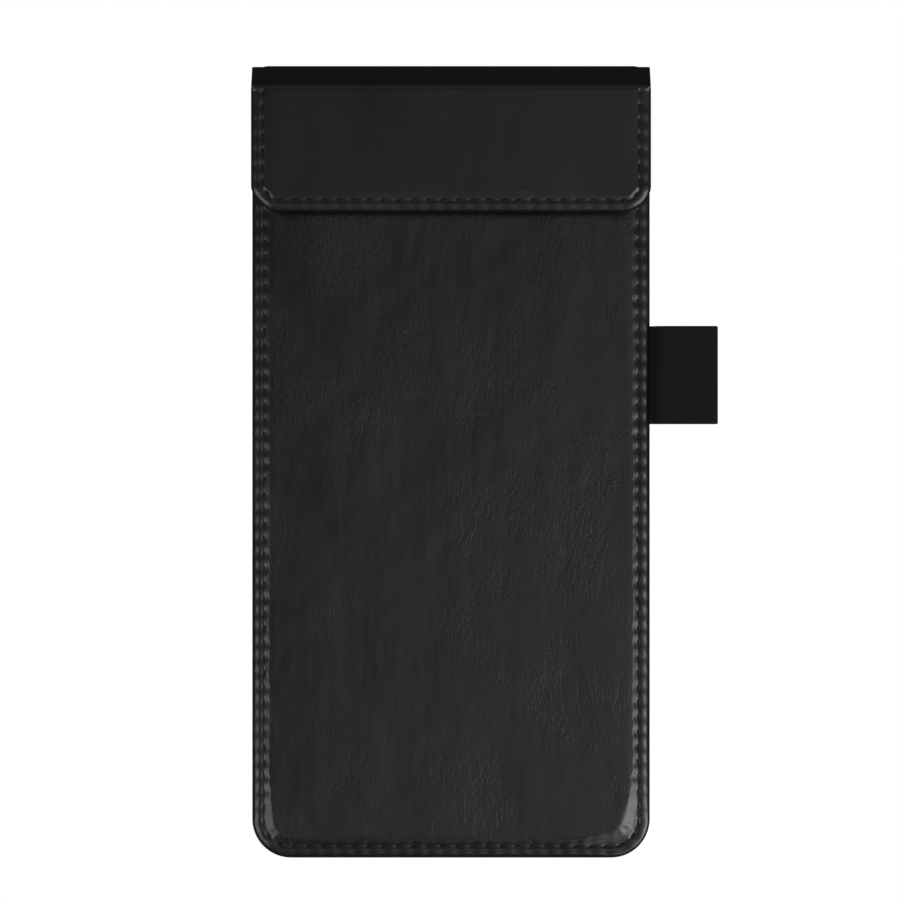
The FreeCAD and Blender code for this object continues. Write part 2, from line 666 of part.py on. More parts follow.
core_board = make_core_board()
strike_plate = make_strike_plate()
foam_pad = make_foam_pad()
front_cover_blank = make_front_cover()
back_cover_blank = make_back_cover()
gutter_lining_blank = make_gutter_lining()
pen_loop_anchor_blank = make_loop_anchor()
pen_loop = make_pen_loop()
spine_cover = make_spine_cover()
spine_lining = make_spine_lining()
flap_board = make_flap_board()
flap_magnets = make_flap_magnets()
flap_cover_blank = make_flap_cover()
flap_lining_blank = make_flap_lining()

# The body's seam goes round three sides and across the top of the panel, and the flap's
# goes round its three free sides and stops short of the fold.
body_seams = [
    tongue_seam(f"{HALF_WIDTH} - sizes.seam_inset", f"{FREE_END} + sizes.seam_inset",
                f"{PANEL_END} - sizes.seam_inset", "sizes.corner_radius - sizes.seam_inset"),
    straight_seam(f"{HALF_WIDTH} - sizes.seam_inset", f"{PANEL_END} - sizes.seam_inset"),
]
flap_seams = [
    tongue_seam(f"{FLAP_HALF_WIDTH} - sizes.seam_inset", f"{FLAP_FREE_END} + sizes.seam_inset",
                f"{FLAP_FOLD_END} - sizes.needle_hole_radius - sizes.fold_play",
                "sizes.flap_corner_radius - sizes.seam_inset"),
]
body_needle_holes = needle_holes("body_needle_holes", body_seams, "0", PANEL_TOP)
flap_needle_holes = needle_holes("flap_needle_holes", flap_seams, FLAP_UNDER, FLAP_TOP)

pieces = [
    core_board,
    strike_plate,
    foam_pad,
    boolean("Cut", "front_cover", front_cover_blank, body_needle_holes),
    boolean("Cut", "back_cover", back_cover_blank, body_needle_holes),
    boolean("Cut", "gutter_lining", gutter_lining_blank, body_needle_holes),
    boolean("Cut", "pen_loop_anchor", pen_loop_anchor_blank, body_needle_holes),
    pen_loop,
    spine_cover,
    spine_lining,
    flap_board,
    flap_magnets,
    boolean("Cut", "flap_cover", flap_cover_blank, flap_needle_holes),
    boolean("Cut", "flap_lining", flap_lining_blank, flap_needle_holes),
    stitching("front_stitching", body_seams, f"{RIM_TOP} - sizes.seam_bed_depth", SEAM_PLANE),
    stitching("back_stitching", body_seams, "sizes.seam_bed_depth", SEAM_PLANE),
    stitching("flap_front_stitching", flap_seams, f"{FLAP_RIM_TOP} - sizes.seam_bed_depth",
              FLAP_SEAM_PLANE),
    stitching("flap_back_stitching", flap_seams, f"{FLAP_UNDER} + sizes.seam_bed_depth",
              FLAP_SEAM_PLANE),
]

document.recompute()
for item in document.Objects:
    if {"Invalid", "Error"} & set(item.State):
        raise ValueError(f"{item.Label} failed: {item.State}")
for piece in pieces:
    if piece.Shape.isNull() or not piece.Shape.isValid() or not piece.Shape.Solids:
        raise ValueError(f"{piece.Label} has no valid solid")

os.makedirs("parts", exist_ok=True)
for piece in pieces:
    piece.Shape.exportStep(f"parts/{piece.Label}.step")
    box = piece.Shape.BoundBox
    print(f"{piece.Label}: {len(piece.Shape.Solids)} solids, {piece.Shape.Volume:.1f} mm3, "
          f"x {box.XMin:.2f} {box.XMax:.2f} y {box.YMin:.2f} {box.YMax:.2f} "
          f"z {box.ZMin:.2f} {box.ZMax:.2f}")
print(f"lower fold y {value(LOW_FOLD_Y):.3f} z {value(LOW_FOLD_Z):.3f}, "
      f"upper fold y {value(HIGH_FOLD_Y):.3f} z {value(HIGH_FOLD_Z):.3f}, "
      f"pen loop axis x {value(LOOP_AXIS_X):.3f} z {value(SEAM_PLANE):.3f}")
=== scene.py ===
import math

import bmesh
import bpy
import numpy as np
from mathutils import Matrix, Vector


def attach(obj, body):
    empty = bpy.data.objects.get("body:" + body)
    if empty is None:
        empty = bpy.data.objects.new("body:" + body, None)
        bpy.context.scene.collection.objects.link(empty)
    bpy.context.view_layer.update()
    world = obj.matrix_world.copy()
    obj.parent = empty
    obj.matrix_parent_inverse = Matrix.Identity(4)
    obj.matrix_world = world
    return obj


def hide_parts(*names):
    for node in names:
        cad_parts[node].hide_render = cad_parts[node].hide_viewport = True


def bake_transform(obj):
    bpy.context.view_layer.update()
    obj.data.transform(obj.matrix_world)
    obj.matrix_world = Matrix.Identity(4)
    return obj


# Looks of the order pad holder: a padded leather panel for the pad, a stitched flap with
# magnets that folds over its top end, and a loop of elastic webbing for the pen.
# Shapes are worked out in millimetres and written to the meshes in metres, in the frame of
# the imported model: +Y towards the spine, +Z the side that carries the pad, Z = 0 the back.

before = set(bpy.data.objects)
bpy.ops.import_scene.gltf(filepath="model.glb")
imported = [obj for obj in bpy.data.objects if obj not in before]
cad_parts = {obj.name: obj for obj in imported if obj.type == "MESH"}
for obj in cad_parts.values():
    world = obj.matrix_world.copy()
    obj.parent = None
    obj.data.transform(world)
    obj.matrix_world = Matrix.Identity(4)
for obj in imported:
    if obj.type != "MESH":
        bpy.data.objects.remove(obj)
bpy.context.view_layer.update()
scene = bpy.context.scene

MM = 0.001

# Sizes of the real object, in millimetres
HALF_WIDTH = 57.5
FREE_END = -115.0
PANEL_END = 105.6
CORNER_RADIUS = 11.0
LEATHER = 0.8
SEAM_PLANE = 1.6
SEWN_RIM = 3.75
EDGE_SWELL = 0.3
FLAP_EDGE_SWELL = 0.1
BOARD_TOP = 2.8
PANEL_TOP = 4.6
HEM_WIDTH = 4.6

SEAM_INSET = 3.1
STITCH_PITCH = 4.3
PAD_CROWN = 0.35
BED_DEPTH = 0.05
BED_SPREAD = 0.5
THREAD_RADIUS = 0.25
THREAD_SIDES = 6
THREAD_RINGS = 8
STITCH_SPAN = 0.6
THREAD_DIVE = 0.3
FLAP_MARK = 0.6
FLAP_MARK_END = 72.5
FOAM_GAP = 0.02

LOW_FOLD = np.array([114.2, 0.8])
HIGH_FOLD = np.array([108.7, 7.6])
FLAP_HALF_WIDTH = 57.9
FLAP_FREE_END = 72.4
FLAP_CORNER_RADIUS = 7.5
FLAP_SEAM_START = 107.08
FLAP_UNDER = 4.9
FLAP_SEAM_PLANE = 6.5
FLAP_RIM_TOP = 8.1
FLAP_BOARD_TOP = 7.6
FLAP_TAPER_START = 104.6
FLAP_CORNER_CUTS = (0.7, 0.2)
FLAP_BEND_RADIUS = 3.2

LOOP_AXIS = np.array([58.3, 1.6])
LOOP_MIDDLE = 25.0
LOOP_WIDTH = 28.5
LOOP_REACH = 77.5
LOOP_FLOOR = 0.1
LOOP_TOP = 6.2
WEBBING = 0.8


# Camera, straight above the holder, with the pen loop on the right

VIEW_HEIGHT = 1.5
VIEW_WIDTH = 0.2613
SENSOR_WIDTH = 36.0

camera_data = bpy.data.cameras.new("camera")
camera_data.sensor_width = SENSOR_WIDTH
camera_data.lens = SENSOR_WIDTH * VIEW_HEIGHT / VIEW_WIDTH
camera = bpy.data.objects.new("camera", camera_data)
camera.location = (-0.29 * MM, 3.25 * MM, VIEW_HEIGHT + PANEL_TOP * MM)
scene.collection.objects.link(camera)
scene.camera = camera


# Meshes

def make_piece(name, patches, material, sharp_angle=60, maps=None):
    """One closed mesh from grids of points, each (rows, columns, 3) in millimetres.
    Neighbouring points are joined to quads, points that meet are merged, which closes seams
    and poles, and the outlines that are still open are filled with flat faces. maps are the
    same grids' places on the map "strip", (rows, columns, 2)."""
    corners, first = [], 0
    for patch in patches:
        rows, columns = patch.shape[:2]
        start = first + (np.arange(rows - 1)[:, None] * columns + np.arange(columns - 1)).ravel()
        corners.append(np.stack([start, start + 1, start + columns + 1, start + columns], 1))
        first += rows * columns
    points = np.concatenate([patch.reshape(-1, 3) for patch in patches]) * MM
    mesh = bpy.data.meshes.new(name)
    faces = np.concatenate(corners)
    mesh.from_pydata(points.tolist(), [], faces.tolist())
    if maps:
        flat = np.concatenate([part.reshape(-1, 2) for part in maps])
        mesh.uv_layers.new(name="strip").data.foreach_set("uv", flat[faces.ravel()].ravel())
    shell = bmesh.new()
    shell.from_mesh(mesh)
    bmesh.ops.remove_doubles(shell, verts=shell.verts, dist=2e-6)
    open_edges = [edge for edge in shell.edges if edge.is_boundary]
    if open_edges:
        bmesh.ops.holes_fill(shell, edges=open_edges, sides=0)
    bmesh.ops.recalc_face_normals(shell, faces=shell.faces)
    shell.to_mesh(mesh)
    shell.free()
    mesh.polygons.foreach_set("use_smooth", np.ones(len(mesh.polygons), bool))
    mesh.set_sharp_from_angle(angle=math.radians(sharp_angle))
    mesh.materials.append(material)
    piece = bpy.data.objects.new(name, mesh)
    scene.collection.objects.link(piece)
    return piece


def ripple(x, y, wavelength, seed, waves=14):
    """Soft random relief between about -1 and 1: plane waves of nearly one wavelength, with
    random directions and phases, added up and divided by the root of their number."""
    random = np.random.default_rng(seed)
    angles = random.uniform(0, 2 * np.pi, waves)
    lengths = wavelength * random.uniform(0.75, 1.5, waves)
    phases = random.uniform(0, 2 * np.pi, waves)
    total = 0
    for angle, length, phase in zip(angles, lengths, phases):
        across = x * math.cos(angle) + y * math.sin(angle)
        total = total + np.sin(2 * np.pi * across / length + phase)
    return total / math.sqrt(waves)


def unit(angle):
    return np.array([math.cos(angle), math.sin(angle)])


def smooth_step(x):
    """0 below 0, 1 above 1, and 3x^2 - 2x^3 between."""
    x = np.clip(x, 0, 1)
    return x * x * (3 - 2 * x)


# Seams

def station_phases(stitches, per_stitch):
    """Stations along a seam, counted in stitches and closer together in the middle of each
    stitch, where the count is whole: t less half of sin(2 pi t) over 2 pi."""
    steps = np.arange(stitches * per_stitch + 1) / per_stitch
    return steps - 0.5 * np.sin(2 * np.pi * steps) / (2 * np.pi)


def run_ends(side, low, high, bend):
    """Where the straight runs and corners of a tongue-shaped seam end, along the seam."""
    quarter = bend * math.pi / 2
    lengths = [high - low - bend, quarter, 2 * (side - bend), quarter, high - low - bend]
    return np.concatenate([[0], np.cumsum(lengths)])


def tongue_seam(side, low, high, bend, per_stitch, cuts=(0, 0)):
    """Seam down the left side, round the free end and up the right side. A centre slides
    along a rectangle while an outward direction turns from 180 to 360 degrees, and the seam
    lies a corner radius from it. cuts flatten the two corners, by a squared sine over each.
    Returns places, outward directions and stitch counts."""
    ends = run_ends(side, low, high, bend)
    stitches = round(ends[-1] / STITCH_PITCH)
    phase = station_phases(stitches, per_stitch)
    along = phase / stitches * ends[-1]
    angle = np.interp(along, ends, np.radians([180, 180, 270, 270, 360, 360]))
    outward = np.stack([np.cos(angle), np.sin(angle)], 1)
    reach = side - bend
    centre_x = np.interp(along, ends, [-reach] * 3 + [reach] * 3)
    centre_y = np.interp(along, ends, [high] + [low + bend] * 4 + [high])
    reach_out = np.full(len(along), float(bend))
    for cut, first in zip(cuts, (1, 3)):
        share = np.clip((along - ends[first]) / (ends[first + 1] - ends[first]), 0, 1)
        reach_out -= cut * np.sin(np.pi * share) ** 2
    return np.stack([centre_x, centre_y], 1) + reach_out[:, None] * outward, outward, phase


def panel_seam(per_stitch):
    """The front panel's seam: the tongue, closed by a straight run across the top. Towards
    the two square corners the outward direction leans into the mitre."""
    side, low, high = HALF_WIDTH - SEAM_INSET, FREE_END + SEAM_INSET, PANEL_END - SEAM_INSET
    places, outward, phase = tongue_seam(side, low, high, CORNER_RADIUS - SEAM_INSET, per_stitch)
    mitre_reach = 22.0
    lean = np.clip(1 - (high - places[:, 1]) / mitre_reach, 0, 1)
    outward = outward + np.stack([0 * lean, lean], 1)
    stitches = round(2 * side / STITCH_PITCH)
    top_phase = station_phases(stitches, per_stitch)
    top_x = side - 2 * side * top_phase / stitches
    top_lean = np.clip(1 - (side - abs(top_x)) / mitre_reach, 0, 1) * np.sign(top_x)
    top_places = np.stack([top_x, np.full_like(top_x, high)], 1)
    top_outward = np.stack([top_lean, np.ones_like(top_x)], 1)
    return (np.concatenate([places, top_places[1:]]), np.concatenate([outward, top_outward[1:]]),
            np.concatenate([phase, phase[-1] + top_phase[1:]]))


def pull_of(phase):
    """How far the thread pulls the leather down: 1 under the middle of each stitch and 0 half
    way to the next, as the raised cosine of the stitch count."""
    return 0.5 + 0.5 * np.cos(2 * np.pi * phase)


def carry(seam, insets, heights):
    """A profile carried along a seam: each point lies its inset in from the outline, along
    the seam's outward direction, at its height. insets are (rows, 1) or (rows, stations)."""
    places, outward = seam[0], seam[1]
    flat = places[None] + (SEAM_INSET - insets)[..., None] * outward[None]
    heights = np.broadcast_to(heights, flat.shape[:2])
    return np.concatenate([flat, heights[..., None]], 2)


def thin_out(row, skip):
    """Each station of a row moved to the nearest one that is kept, every skip-th."""
    steps = np.arange(len(row))
    kept = np.minimum((steps + skip // 2) // skip * skip, (len(row) - 1) // skip * skip)
    return row[kept]


def fill_between(left, bottom, right, top):
    """Coons surface: the two ruled surfaces between opposite edges added up, less the one
    between the four corners. left and right run from top to bottom, bottom and top from
    left to right."""
    down = np.linspace(0, 1, len(left))[:, None, None]
    across = np.linspace(0, 1, len(bottom))[None, :, None]
    sides = (1 - across) * left[:, None] + across * right[:, None]
    ends = (1 - down) * top[None] + down * bottom[None]
    corners = ((1 - down) * ((1 - across) * top[0] + across * top[-1])
               + down * ((1 - across) * bottom[0] + across * bottom[-1]))
    return sides + ends - corners


TUCK_DEPTH = 0.8
EDGE_ROWS = 14
RIM_CREST = 2.2


def rim_edge(depth, low, high, swell, belly=0.1):
    """Insets and heights of a turned edge, from below to above: a quarter ellipse tucked
    under, and a quarter ellipse that reaches further in over the top. belly is how far up
    the edge stands out most, by its swell."""
    angle = np.linspace(-math.pi / 2, math.pi / 2, EDGE_ROWS)[:, None]
    middle = low + belly * (high - low)
    under = np.sin(angle) < 0
    insets = np.where(under, TUCK_DEPTH, depth) * (1 - np.cos(angle)) - swell * np.cos(angle)
    heights = middle + np.where(under, middle - low, high - middle) * np.sin(angle)
    return insets, heights


def seam_groove(away, phase, pucker=0.06, bed=0.14):
    """Depth below the rim at a distance from the seam: a rounded groove that is deeper under
    the stitches, and a narrow bed for the thread of each stitch, gentler on its outer side."""
    pull = pull_of(phase)
    groove = (BED_DEPTH + pucker * pull) * np.exp(-(away / BED_SPREAD) ** 2)
    reach = np.where(away < 0, 0.7, 0.36)
    return groove + bed * smooth_step(1.4 * pull - 0.2) * np.exp(-(away / reach) ** 2)


def sewn_height(inset, phase, rim, panel, rise, sewn=1.0, scallop=0.2, crown=0.06):
    """Height of sewn leather, going in from its edge: the rim, less the seam's groove, plus
    a soft rise to the panel that starts at the seam, further in at each stitch. Between
    stitches the rim swells by its crown."""
    away = inset - SEAM_INSET
    pull = pull_of(phase)
    lift = (panel - rim) * smooth_step((away - 0.05 - sewn * scallop * pull) / rise)
    swell = sewn * crown * (1 - 2 * pull) * np.exp(-((away + 1.4) / 0.8) ** 2)
    return rim + swell - sewn * seam_groove(away, phase) + lift


FLAP_PITCH_RUNS = (FLAP_HALF_WIDTH - SEAM_INSET, FLAP_FREE_END + SEAM_INSET, FLAP_SEAM_START,
                   FLAP_CORNER_RADIUS - SEAM_INSET)
BODY_PITCH_RUNS = (HALF_WIDTH - SEAM_INSET, FREE_END + SEAM_INSET, PANEL_END - SEAM_INSET,
                   CORNER_RADIUS - SEAM_INSET)


# Front panel

def corner_nearness(x, y):
    """1 at each lower corner of the panel and 0 about 20 mm away from it."""
    reach = np.hypot(abs(x) - (HALF_WIDTH - 7), y - (FREE_END + 7))
    return np.exp(-(reach / 9.0) ** 2)


def flap_mark(x, y):
    """The shallow bed that the closed flap has pressed into the pad: a rounded step that is
    steepest under the flap's free edge, and a gentle way back further in."""
    across = smooth_step((HALF_WIDTH - 5.0 - abs(x)) / 5.0)
    slope = smooth_step(np.clip((y - FLAP_MARK_END + 2.4) / 3.1, 0, 1) ** 2)
    return FLAP_MARK * across * (slope - smooth_step((y - FLAP_MARK_END) / 14.0))


def gather_rows(plan):
    """A grid's rows drawn together at the flap's free edge, where the pad dips."""
    away = plan[..., 1] - FLAP_MARK_END + 1.0
    across = smooth_step((HALF_WIDTH - 11.0 - abs(plan[..., 0])) / 6.0)
    gathered = plan.copy()
    gathered[..., 1] -= 0.6 * away * np.exp(-(away / 5.0) ** 2) * across
    return gathered


def front_height(x, y, inset, phase):
    """Height of the padded panel: sewn leather whose rise is softer at the lower corners,
    with shallow dents and swellings on the pad itself."""
    near_corner = corner_nearness(x, y) * (1 + 0.5 * np.sign(x))
    rise = 1.6 + 0.15 * ripple(x, y, 16, 3) + 3.0 * near_corner
    panel = PANEL_TOP - PAD_CROWN * np.exp(-(np.maximum(inset - 4, 0) / 10) ** 2)
    scallop = 0.2 + 0.12 * ripple(x, y, 12, 8)
    height = sewn_height(inset, phase, SEWN_RIM - 0.5 * near_corner, panel, rise, 1.0, scallop)
    on_pad = smooth_step((inset - 4.5) / 6)
    return height + on_pad * (0.05 * ripple(x, y, 34, 5) + 0.022 * ripple(x, y, 11, 6)) - flap_mark(x, y)


def inset_of(x, y, half_width, low, high):
    """Distance to the nearest straight edge of an outline."""
    return np.minimum(np.minimum(half_width - abs(x), y - low), high - y)


def fill_surface(sides, height_at, placed=np.copy):
    """Grid inside four edges: a Coons surface in plan, with the height of its place. Over the
    outer four cells the height goes over to that of the edges themselves. placed may move
    the plan's points."""
    grid = placed(fill_between(*[side[:, :2] for side in sides]))
    misfits = [(side[:, 2] - height_at(side[:, 0], side[:, 1]))[:, None] for side in sides]
    misfit = fill_between(*misfits)[..., 0]
    rows, columns = grid.shape[:2]
    from_end = np.minimum(np.arange(rows), np.arange(rows)[::-1])[:, None]
    from_side = np.minimum(np.arange(columns), np.arange(columns)[::-1])[None]
    share = np.clip(1 - np.minimum(from_end, from_side) / 4, 0, 1)
    return np.dstack([grid, height_at(grid[..., 0], grid[..., 1]) + share * misfit])


def panel_fill(ring, bottom_steps, height_at):
    """Grid inside a closed ring that starts at the panel's upper left corner."""
    side_steps = (len(ring) - 1 - 2 * bottom_steps) // 2
    first, second = side_steps, side_steps + bottom_steps
    third = second + side_steps
    sides = ring[:first + 1], ring[first:second + 1], ring[second:third + 1][::-1], ring[third:][::-1]
    return fill_surface(sides, height_at, gather_rows)


def pad_height(x, y):
    return front_height(x, y, inset_of(x, y, HALF_WIDTH, FREE_END, PANEL_END), 0.5)


PER_STITCH = 12
SKIP = 4
SHOULDER_INSETS = np.concatenate([
    np.linspace(RIM_CREST, 2.6, 3), np.linspace(2.78, 4.85, 14), np.linspace(5.1, 6.2, 5)])


def turned_edge(seam, low, high, crest, swell):
    """The turned edge round a seam. Towards its top it follows the height that the rim's
    crest really has at each station, so that the two meet."""
    insets, heights = rim_edge(RIM_CREST, low, high, swell)
    edge = carry(seam, insets, heights)
    rising = np.maximum(heights - np.median(heights), 0) / (high - np.median(heights))
    edge[..., 2] += rising ** 2 * (crest - high)[None]
    return edge


def front_patches():
    """Turned edge, seam and shoulder carried round the panel, then a coarser grid over it,
    and the same leather's underside."""
    seam = panel_seam(PER_STITCH)
    phase = seam[2][None]
    insets = SHOULDER_INSETS[:, None]
    shoulder = carry(seam, insets, 0)
    shoulder[..., 2] = front_height(shoulder[..., 0], shoulder[..., 1], insets, phase)
    edge = turned_edge(seam, SEAM_PLANE + 0.01, SEWN_RIM, shoulder[0, :, 2], EDGE_SWELL)

    coarse_insets = np.array([6.9, 7.7, 8.6, 10.0])[:, None]
    coarse = carry(seam, coarse_insets, 0)
    coarse[..., 2] = front_height(coarse[..., 0], coarse[..., 1], coarse_insets, phase)
    bridge = np.stack([shoulder[-1], thin_out(coarse[0], SKIP)])
    coarse = coarse[:, ::SKIP]

    top_steps = round(2 * (HALF_WIDTH - SEAM_INSET) / STITCH_PITCH) * PER_STITCH // SKIP
    grid = panel_fill(coarse[-1], top_steps, pad_height)
    under_insets = np.array([TUCK_DEPTH, HEM_WIDTH, HEM_WIDTH + 0.05, 6.2])[:, None]
    under = carry(seam, under_insets, SEAM_PLANE + 0.01)
    under[2:, :, 2] = front_height(under[2:, :, 0], under[2:, :, 1], under_insets[2:], phase) - LEATHER
    under_bridge = np.stack([under[-1], thin_out(coarse_under(seam), SKIP)])
    below = grid.copy()
    below[..., 2] -= LEATHER
    return [edge, shoulder, bridge, coarse, grid, under, under_bridge,
            np.stack([coarse_under(seam)[::SKIP], coarse[-1] - [0, 0, LEATHER]]), below]


def coarse_under(seam):
    """The first coarse ring of the leather's underside."""
    ring = carry(seam, np.array([[7.7]]), 0)[0]
    ring[:, 2] = front_height(ring[:, 0], ring[:, 1], 7.7, seam[2]) - LEATHER
    return ring


# Materials

def add_node(tree, kind, links=None, **settings):
    """A node with its settings; links gives each input a value or another node's output."""
    node = tree.nodes.new(kind)
    for name, setting in settings.items():
        setattr(node, name, setting)
    for socket, source in (links or {}).items():
        if isinstance(source, bpy.types.NodeSocket):
            tree.links.new(source, node.inputs[socket])
        else:
            node.inputs[socket].default_value = source
    return node


def math_node(tree, operation, *sources, clamp=False):
    node = add_node(tree, "ShaderNodeMath", dict(enumerate(sources)), operation=operation, use_clamp=clamp)
    return node.outputs[0]


def spread(tree, source, low, high, to_low=0.0, to_high=1.0):
    """Map a range to another with soft ends, clamped."""
    node = add_node(tree, "ShaderNodeMapRange", {
        "Value": source, "From Min": low, "From Max": high, "To Min": to_low, "To Max": to_high},
        interpolation_type="SMOOTHSTEP")
    return node.outputs["Result"]


def new_group(name, inputs, outputs):
    """An empty shader group with named inputs and their defaults, and named outputs."""
    tree = bpy.data.node_groups.new(name, "ShaderNodeTree")
    for label, kind, default in inputs:
        socket = tree.interface.new_socket(label, in_out="INPUT", socket_type=kind)
        if default is not None:
            socket.default_value = default
    for label, kind in outputs:
        tree.interface.new_socket(label, in_out="OUTPUT", socket_type=kind)
    return tree, tree.nodes.new("NodeGroupInput").outputs, tree.nodes.new("NodeGroupOutput").inputs


def noise(tree, vector, scale, detail=2.0, roughness=0.5, distortion=0.0):
    node = add_node(tree, "ShaderNodeTexNoise", {
        "Vector": vector, "Scale": scale, "Detail": detail, "Roughness": roughness, "Distortion": distortion})
    return node.outputs["Fac"]


def build_crease_group():
    """Fine creases of a soft leather film: thin lines where a stretched noise passes its
    middle value, where a slow noise lets them show. Lengths are in millimetres, the cells'
    own length along Y once they are turned."""
    tree, given, out = new_group(
        "creases",
        [("Vector", "NodeSocketVector", None), ("Turn", "NodeSocketFloat", 0.0),
         ("Cell Width", "NodeSocketFloat", 1.6), ("Cell Length", "NodeSocketFloat", 4.4),
         ("Cluster Size", "NodeSocketFloat", 26.0), ("Cover", "NodeSocketFloat", 0.5)],
        [("Creases", "NodeSocketFloat"), ("Clusters", "NodeSocketFloat")])
    turned = add_node(tree, "ShaderNodeVectorRotate", {"Vector": given["Vector"], "Angle": given["Turn"]},
                      rotation_type="Z_AXIS").outputs["Vector"]
    cell = add_node(tree, "ShaderNodeCombineXYZ", {
        "X": given["Cell Width"], "Y": given["Cell Length"], "Z": given["Cell Width"]}).outputs[0]
    cells = add_node(tree, "ShaderNodeVectorMath", {0: turned, 1: cell}, operation="DIVIDE").outputs[0]
    wisps = noise(tree, cells, 1.0, 1.5, 0.5)
    from_middle = math_node(tree, "ABSOLUTE", math_node(tree, "SUBTRACT", wisps, 0.5))
    lines = spread(tree, from_middle, 0.0, 0.11, 1.0, 0.0)
    frequency = math_node(tree, "DIVIDE", 1.0, given["Cluster Size"])
    slow = noise(tree, given["Vector"], frequency, 2.0, 0.6)
    edge = math_node(tree, "MULTIPLY_ADD", given["Cover"], -0.3, 0.62)
    clusters = spread(tree, slow, edge, math_node(tree, "ADD", edge, 0.22))
    tree.links.new(math_node(tree, "MULTIPLY", lines, clusters), out["Creases"])
    tree.links.new(clusters, out["Clusters"])
    return tree


def build_pore_group():
    """Pressed pores: small rounded cells, uneven in height, with soft clouds over them."""
    tree, given, out = new_group(
        "pores",
        [("Vector", "NodeSocketVector", None), ("Pore Size", "NodeSocketFloat", 0.5),
         ("Cloud Size", "NodeSocketFloat", 9.0)],
        [("Pores", "NodeSocketFloat"), ("Clouds", "NodeSocketFloat")])
    fine = math_node(tree, "DIVIDE", 1.0, given["Pore Size"])
    cells = add_node(tree, "ShaderNodeTexVoronoi", {"Vector": given["Vector"], "Scale": fine}).outputs["Distance"]
    uneven = noise(tree, given["Vector"], math_node(tree, "MULTIPLY", fine, 0.6), 1.0)
    pores = math_node(tree, "MULTIPLY_ADD", cells, -0.7, uneven)
    tree.links.new(pores, out["Pores"])
    clouds = noise(tree, given["Vector"], math_node(tree, "DIVIDE", 1.0, given["Cloud Size"]), 2.0, 0.6)
    tree.links.new(clouds, out["Clouds"])
    return tree


CREASES = build_crease_group()
PORES = build_pore_group()


def new_material(name, colour, roughness, specular=0.5):
    """A Principled material with its plain numbers set on the shader itself."""
    material = bpy.data.materials.new(name)
    material.use_nodes = True
    shader = material.node_tree.nodes["Principled BSDF"]
    shader.inputs["Base Color"].default_value = (*colour, 1)
    shader.inputs["Roughness"].default_value = roughness
    shader.inputs["Specular IOR Level"].default_value = specular
    return material, material.node_tree, shader


def in_millimetres(tree):
    """Object coordinates, in millimetres."""
    place = add_node(tree, "ShaderNodeTexCoord").outputs["Object"]
    return add_node(tree, "ShaderNodeVectorMath", {0: place, "Scale": 1 / MM}, operation="SCALE").outputs[0]


def group_node(tree, group, **values):
    node = add_node(tree, "ShaderNodeGroup", node_tree=group)
    for label, value in values.items():
        socket = node.inputs[label.replace("_", " ")]
        if isinstance(value, bpy.types.NodeSocket):
            tree.links.new(value, socket)
        else:
            socket.default_value = value
    return node.outputs


def summed(tree, parts):
    """Weighted sum of sockets."""
    total = 0.0
    for source, weight in parts:
        total = math_node(tree, "MULTIPLY_ADD", source, weight, total)
    return total


def make_leather(name, colour, roughness, creased, cover):
    """Black film-coated leather, drawn along Y. Creases and streaks lie only where it is
    slack, which the attribute slack says: 0 at the seams, 1 on the pad. creased scales their
    depth, and cover says how much of the leather they take up."""
    material, tree, shader = new_material(name, colour, roughness)
    place = in_millimetres(tree)
    slack = add_node(tree, "ShaderNodeAttribute", attribute_name="slack").outputs["Fac"]
    upright = group_node(tree, CREASES, Vector=place, Cover=cover)
    worms = group_node(tree, CREASES, Vector=place, Turn=0.8, Cell_Width=1.4, Cell_Length=2.0,
                       Cluster_Size=15.0, Cover=cover * 0.7)
    pores = group_node(tree, PORES, Vector=place, Pore_Size=0.4, Cloud_Size=24.0)
    drawn = add_node(tree, "ShaderNodeVectorMath", {0: place, 1: (0.11, 0.035, 0.11)}, operation="MULTIPLY").outputs[0]
    streaks = noise(tree, drawn, 1.0, 2.0, 0.5)
    creases = math_node(tree, "MULTIPLY_ADD", worms["Creases"], 0.7, upright["Creases"])
    relief = summed(tree, [(creases, -0.034 * creased), (streaks, 0.34 * creased)])
    height = math_node(tree, "MULTIPLY_ADD", relief, slack, math_node(tree, "MULTIPLY", pores["Pores"], 0.008))
    bump = add_node(tree, "ShaderNodeBump", {"Height": height, "Strength": 1.0, "Distance": MM})
    tree.links.new(bump.outputs["Normal"], shader.inputs["Normal"])
    uneven = summed(tree, [(pores["Clouds"], 0.22), (creases, 0.05), (1.0, roughness - 0.11)])
    tree.links.new(uneven, shader.inputs["Roughness"])
    tone = spread(tree, streaks, 0.3, 0.7)
    tinted = add_node(tree, "ShaderNodeMix", {
        "Factor": tone, "A": (*[c * 0.8 for c in colour], 1), "B": (*[c * 1.25 for c in colour], 1)},
        data_type="RGBA")
    tree.links.new(tinted.outputs["Result"], shader.inputs["Base Color"])
    return material


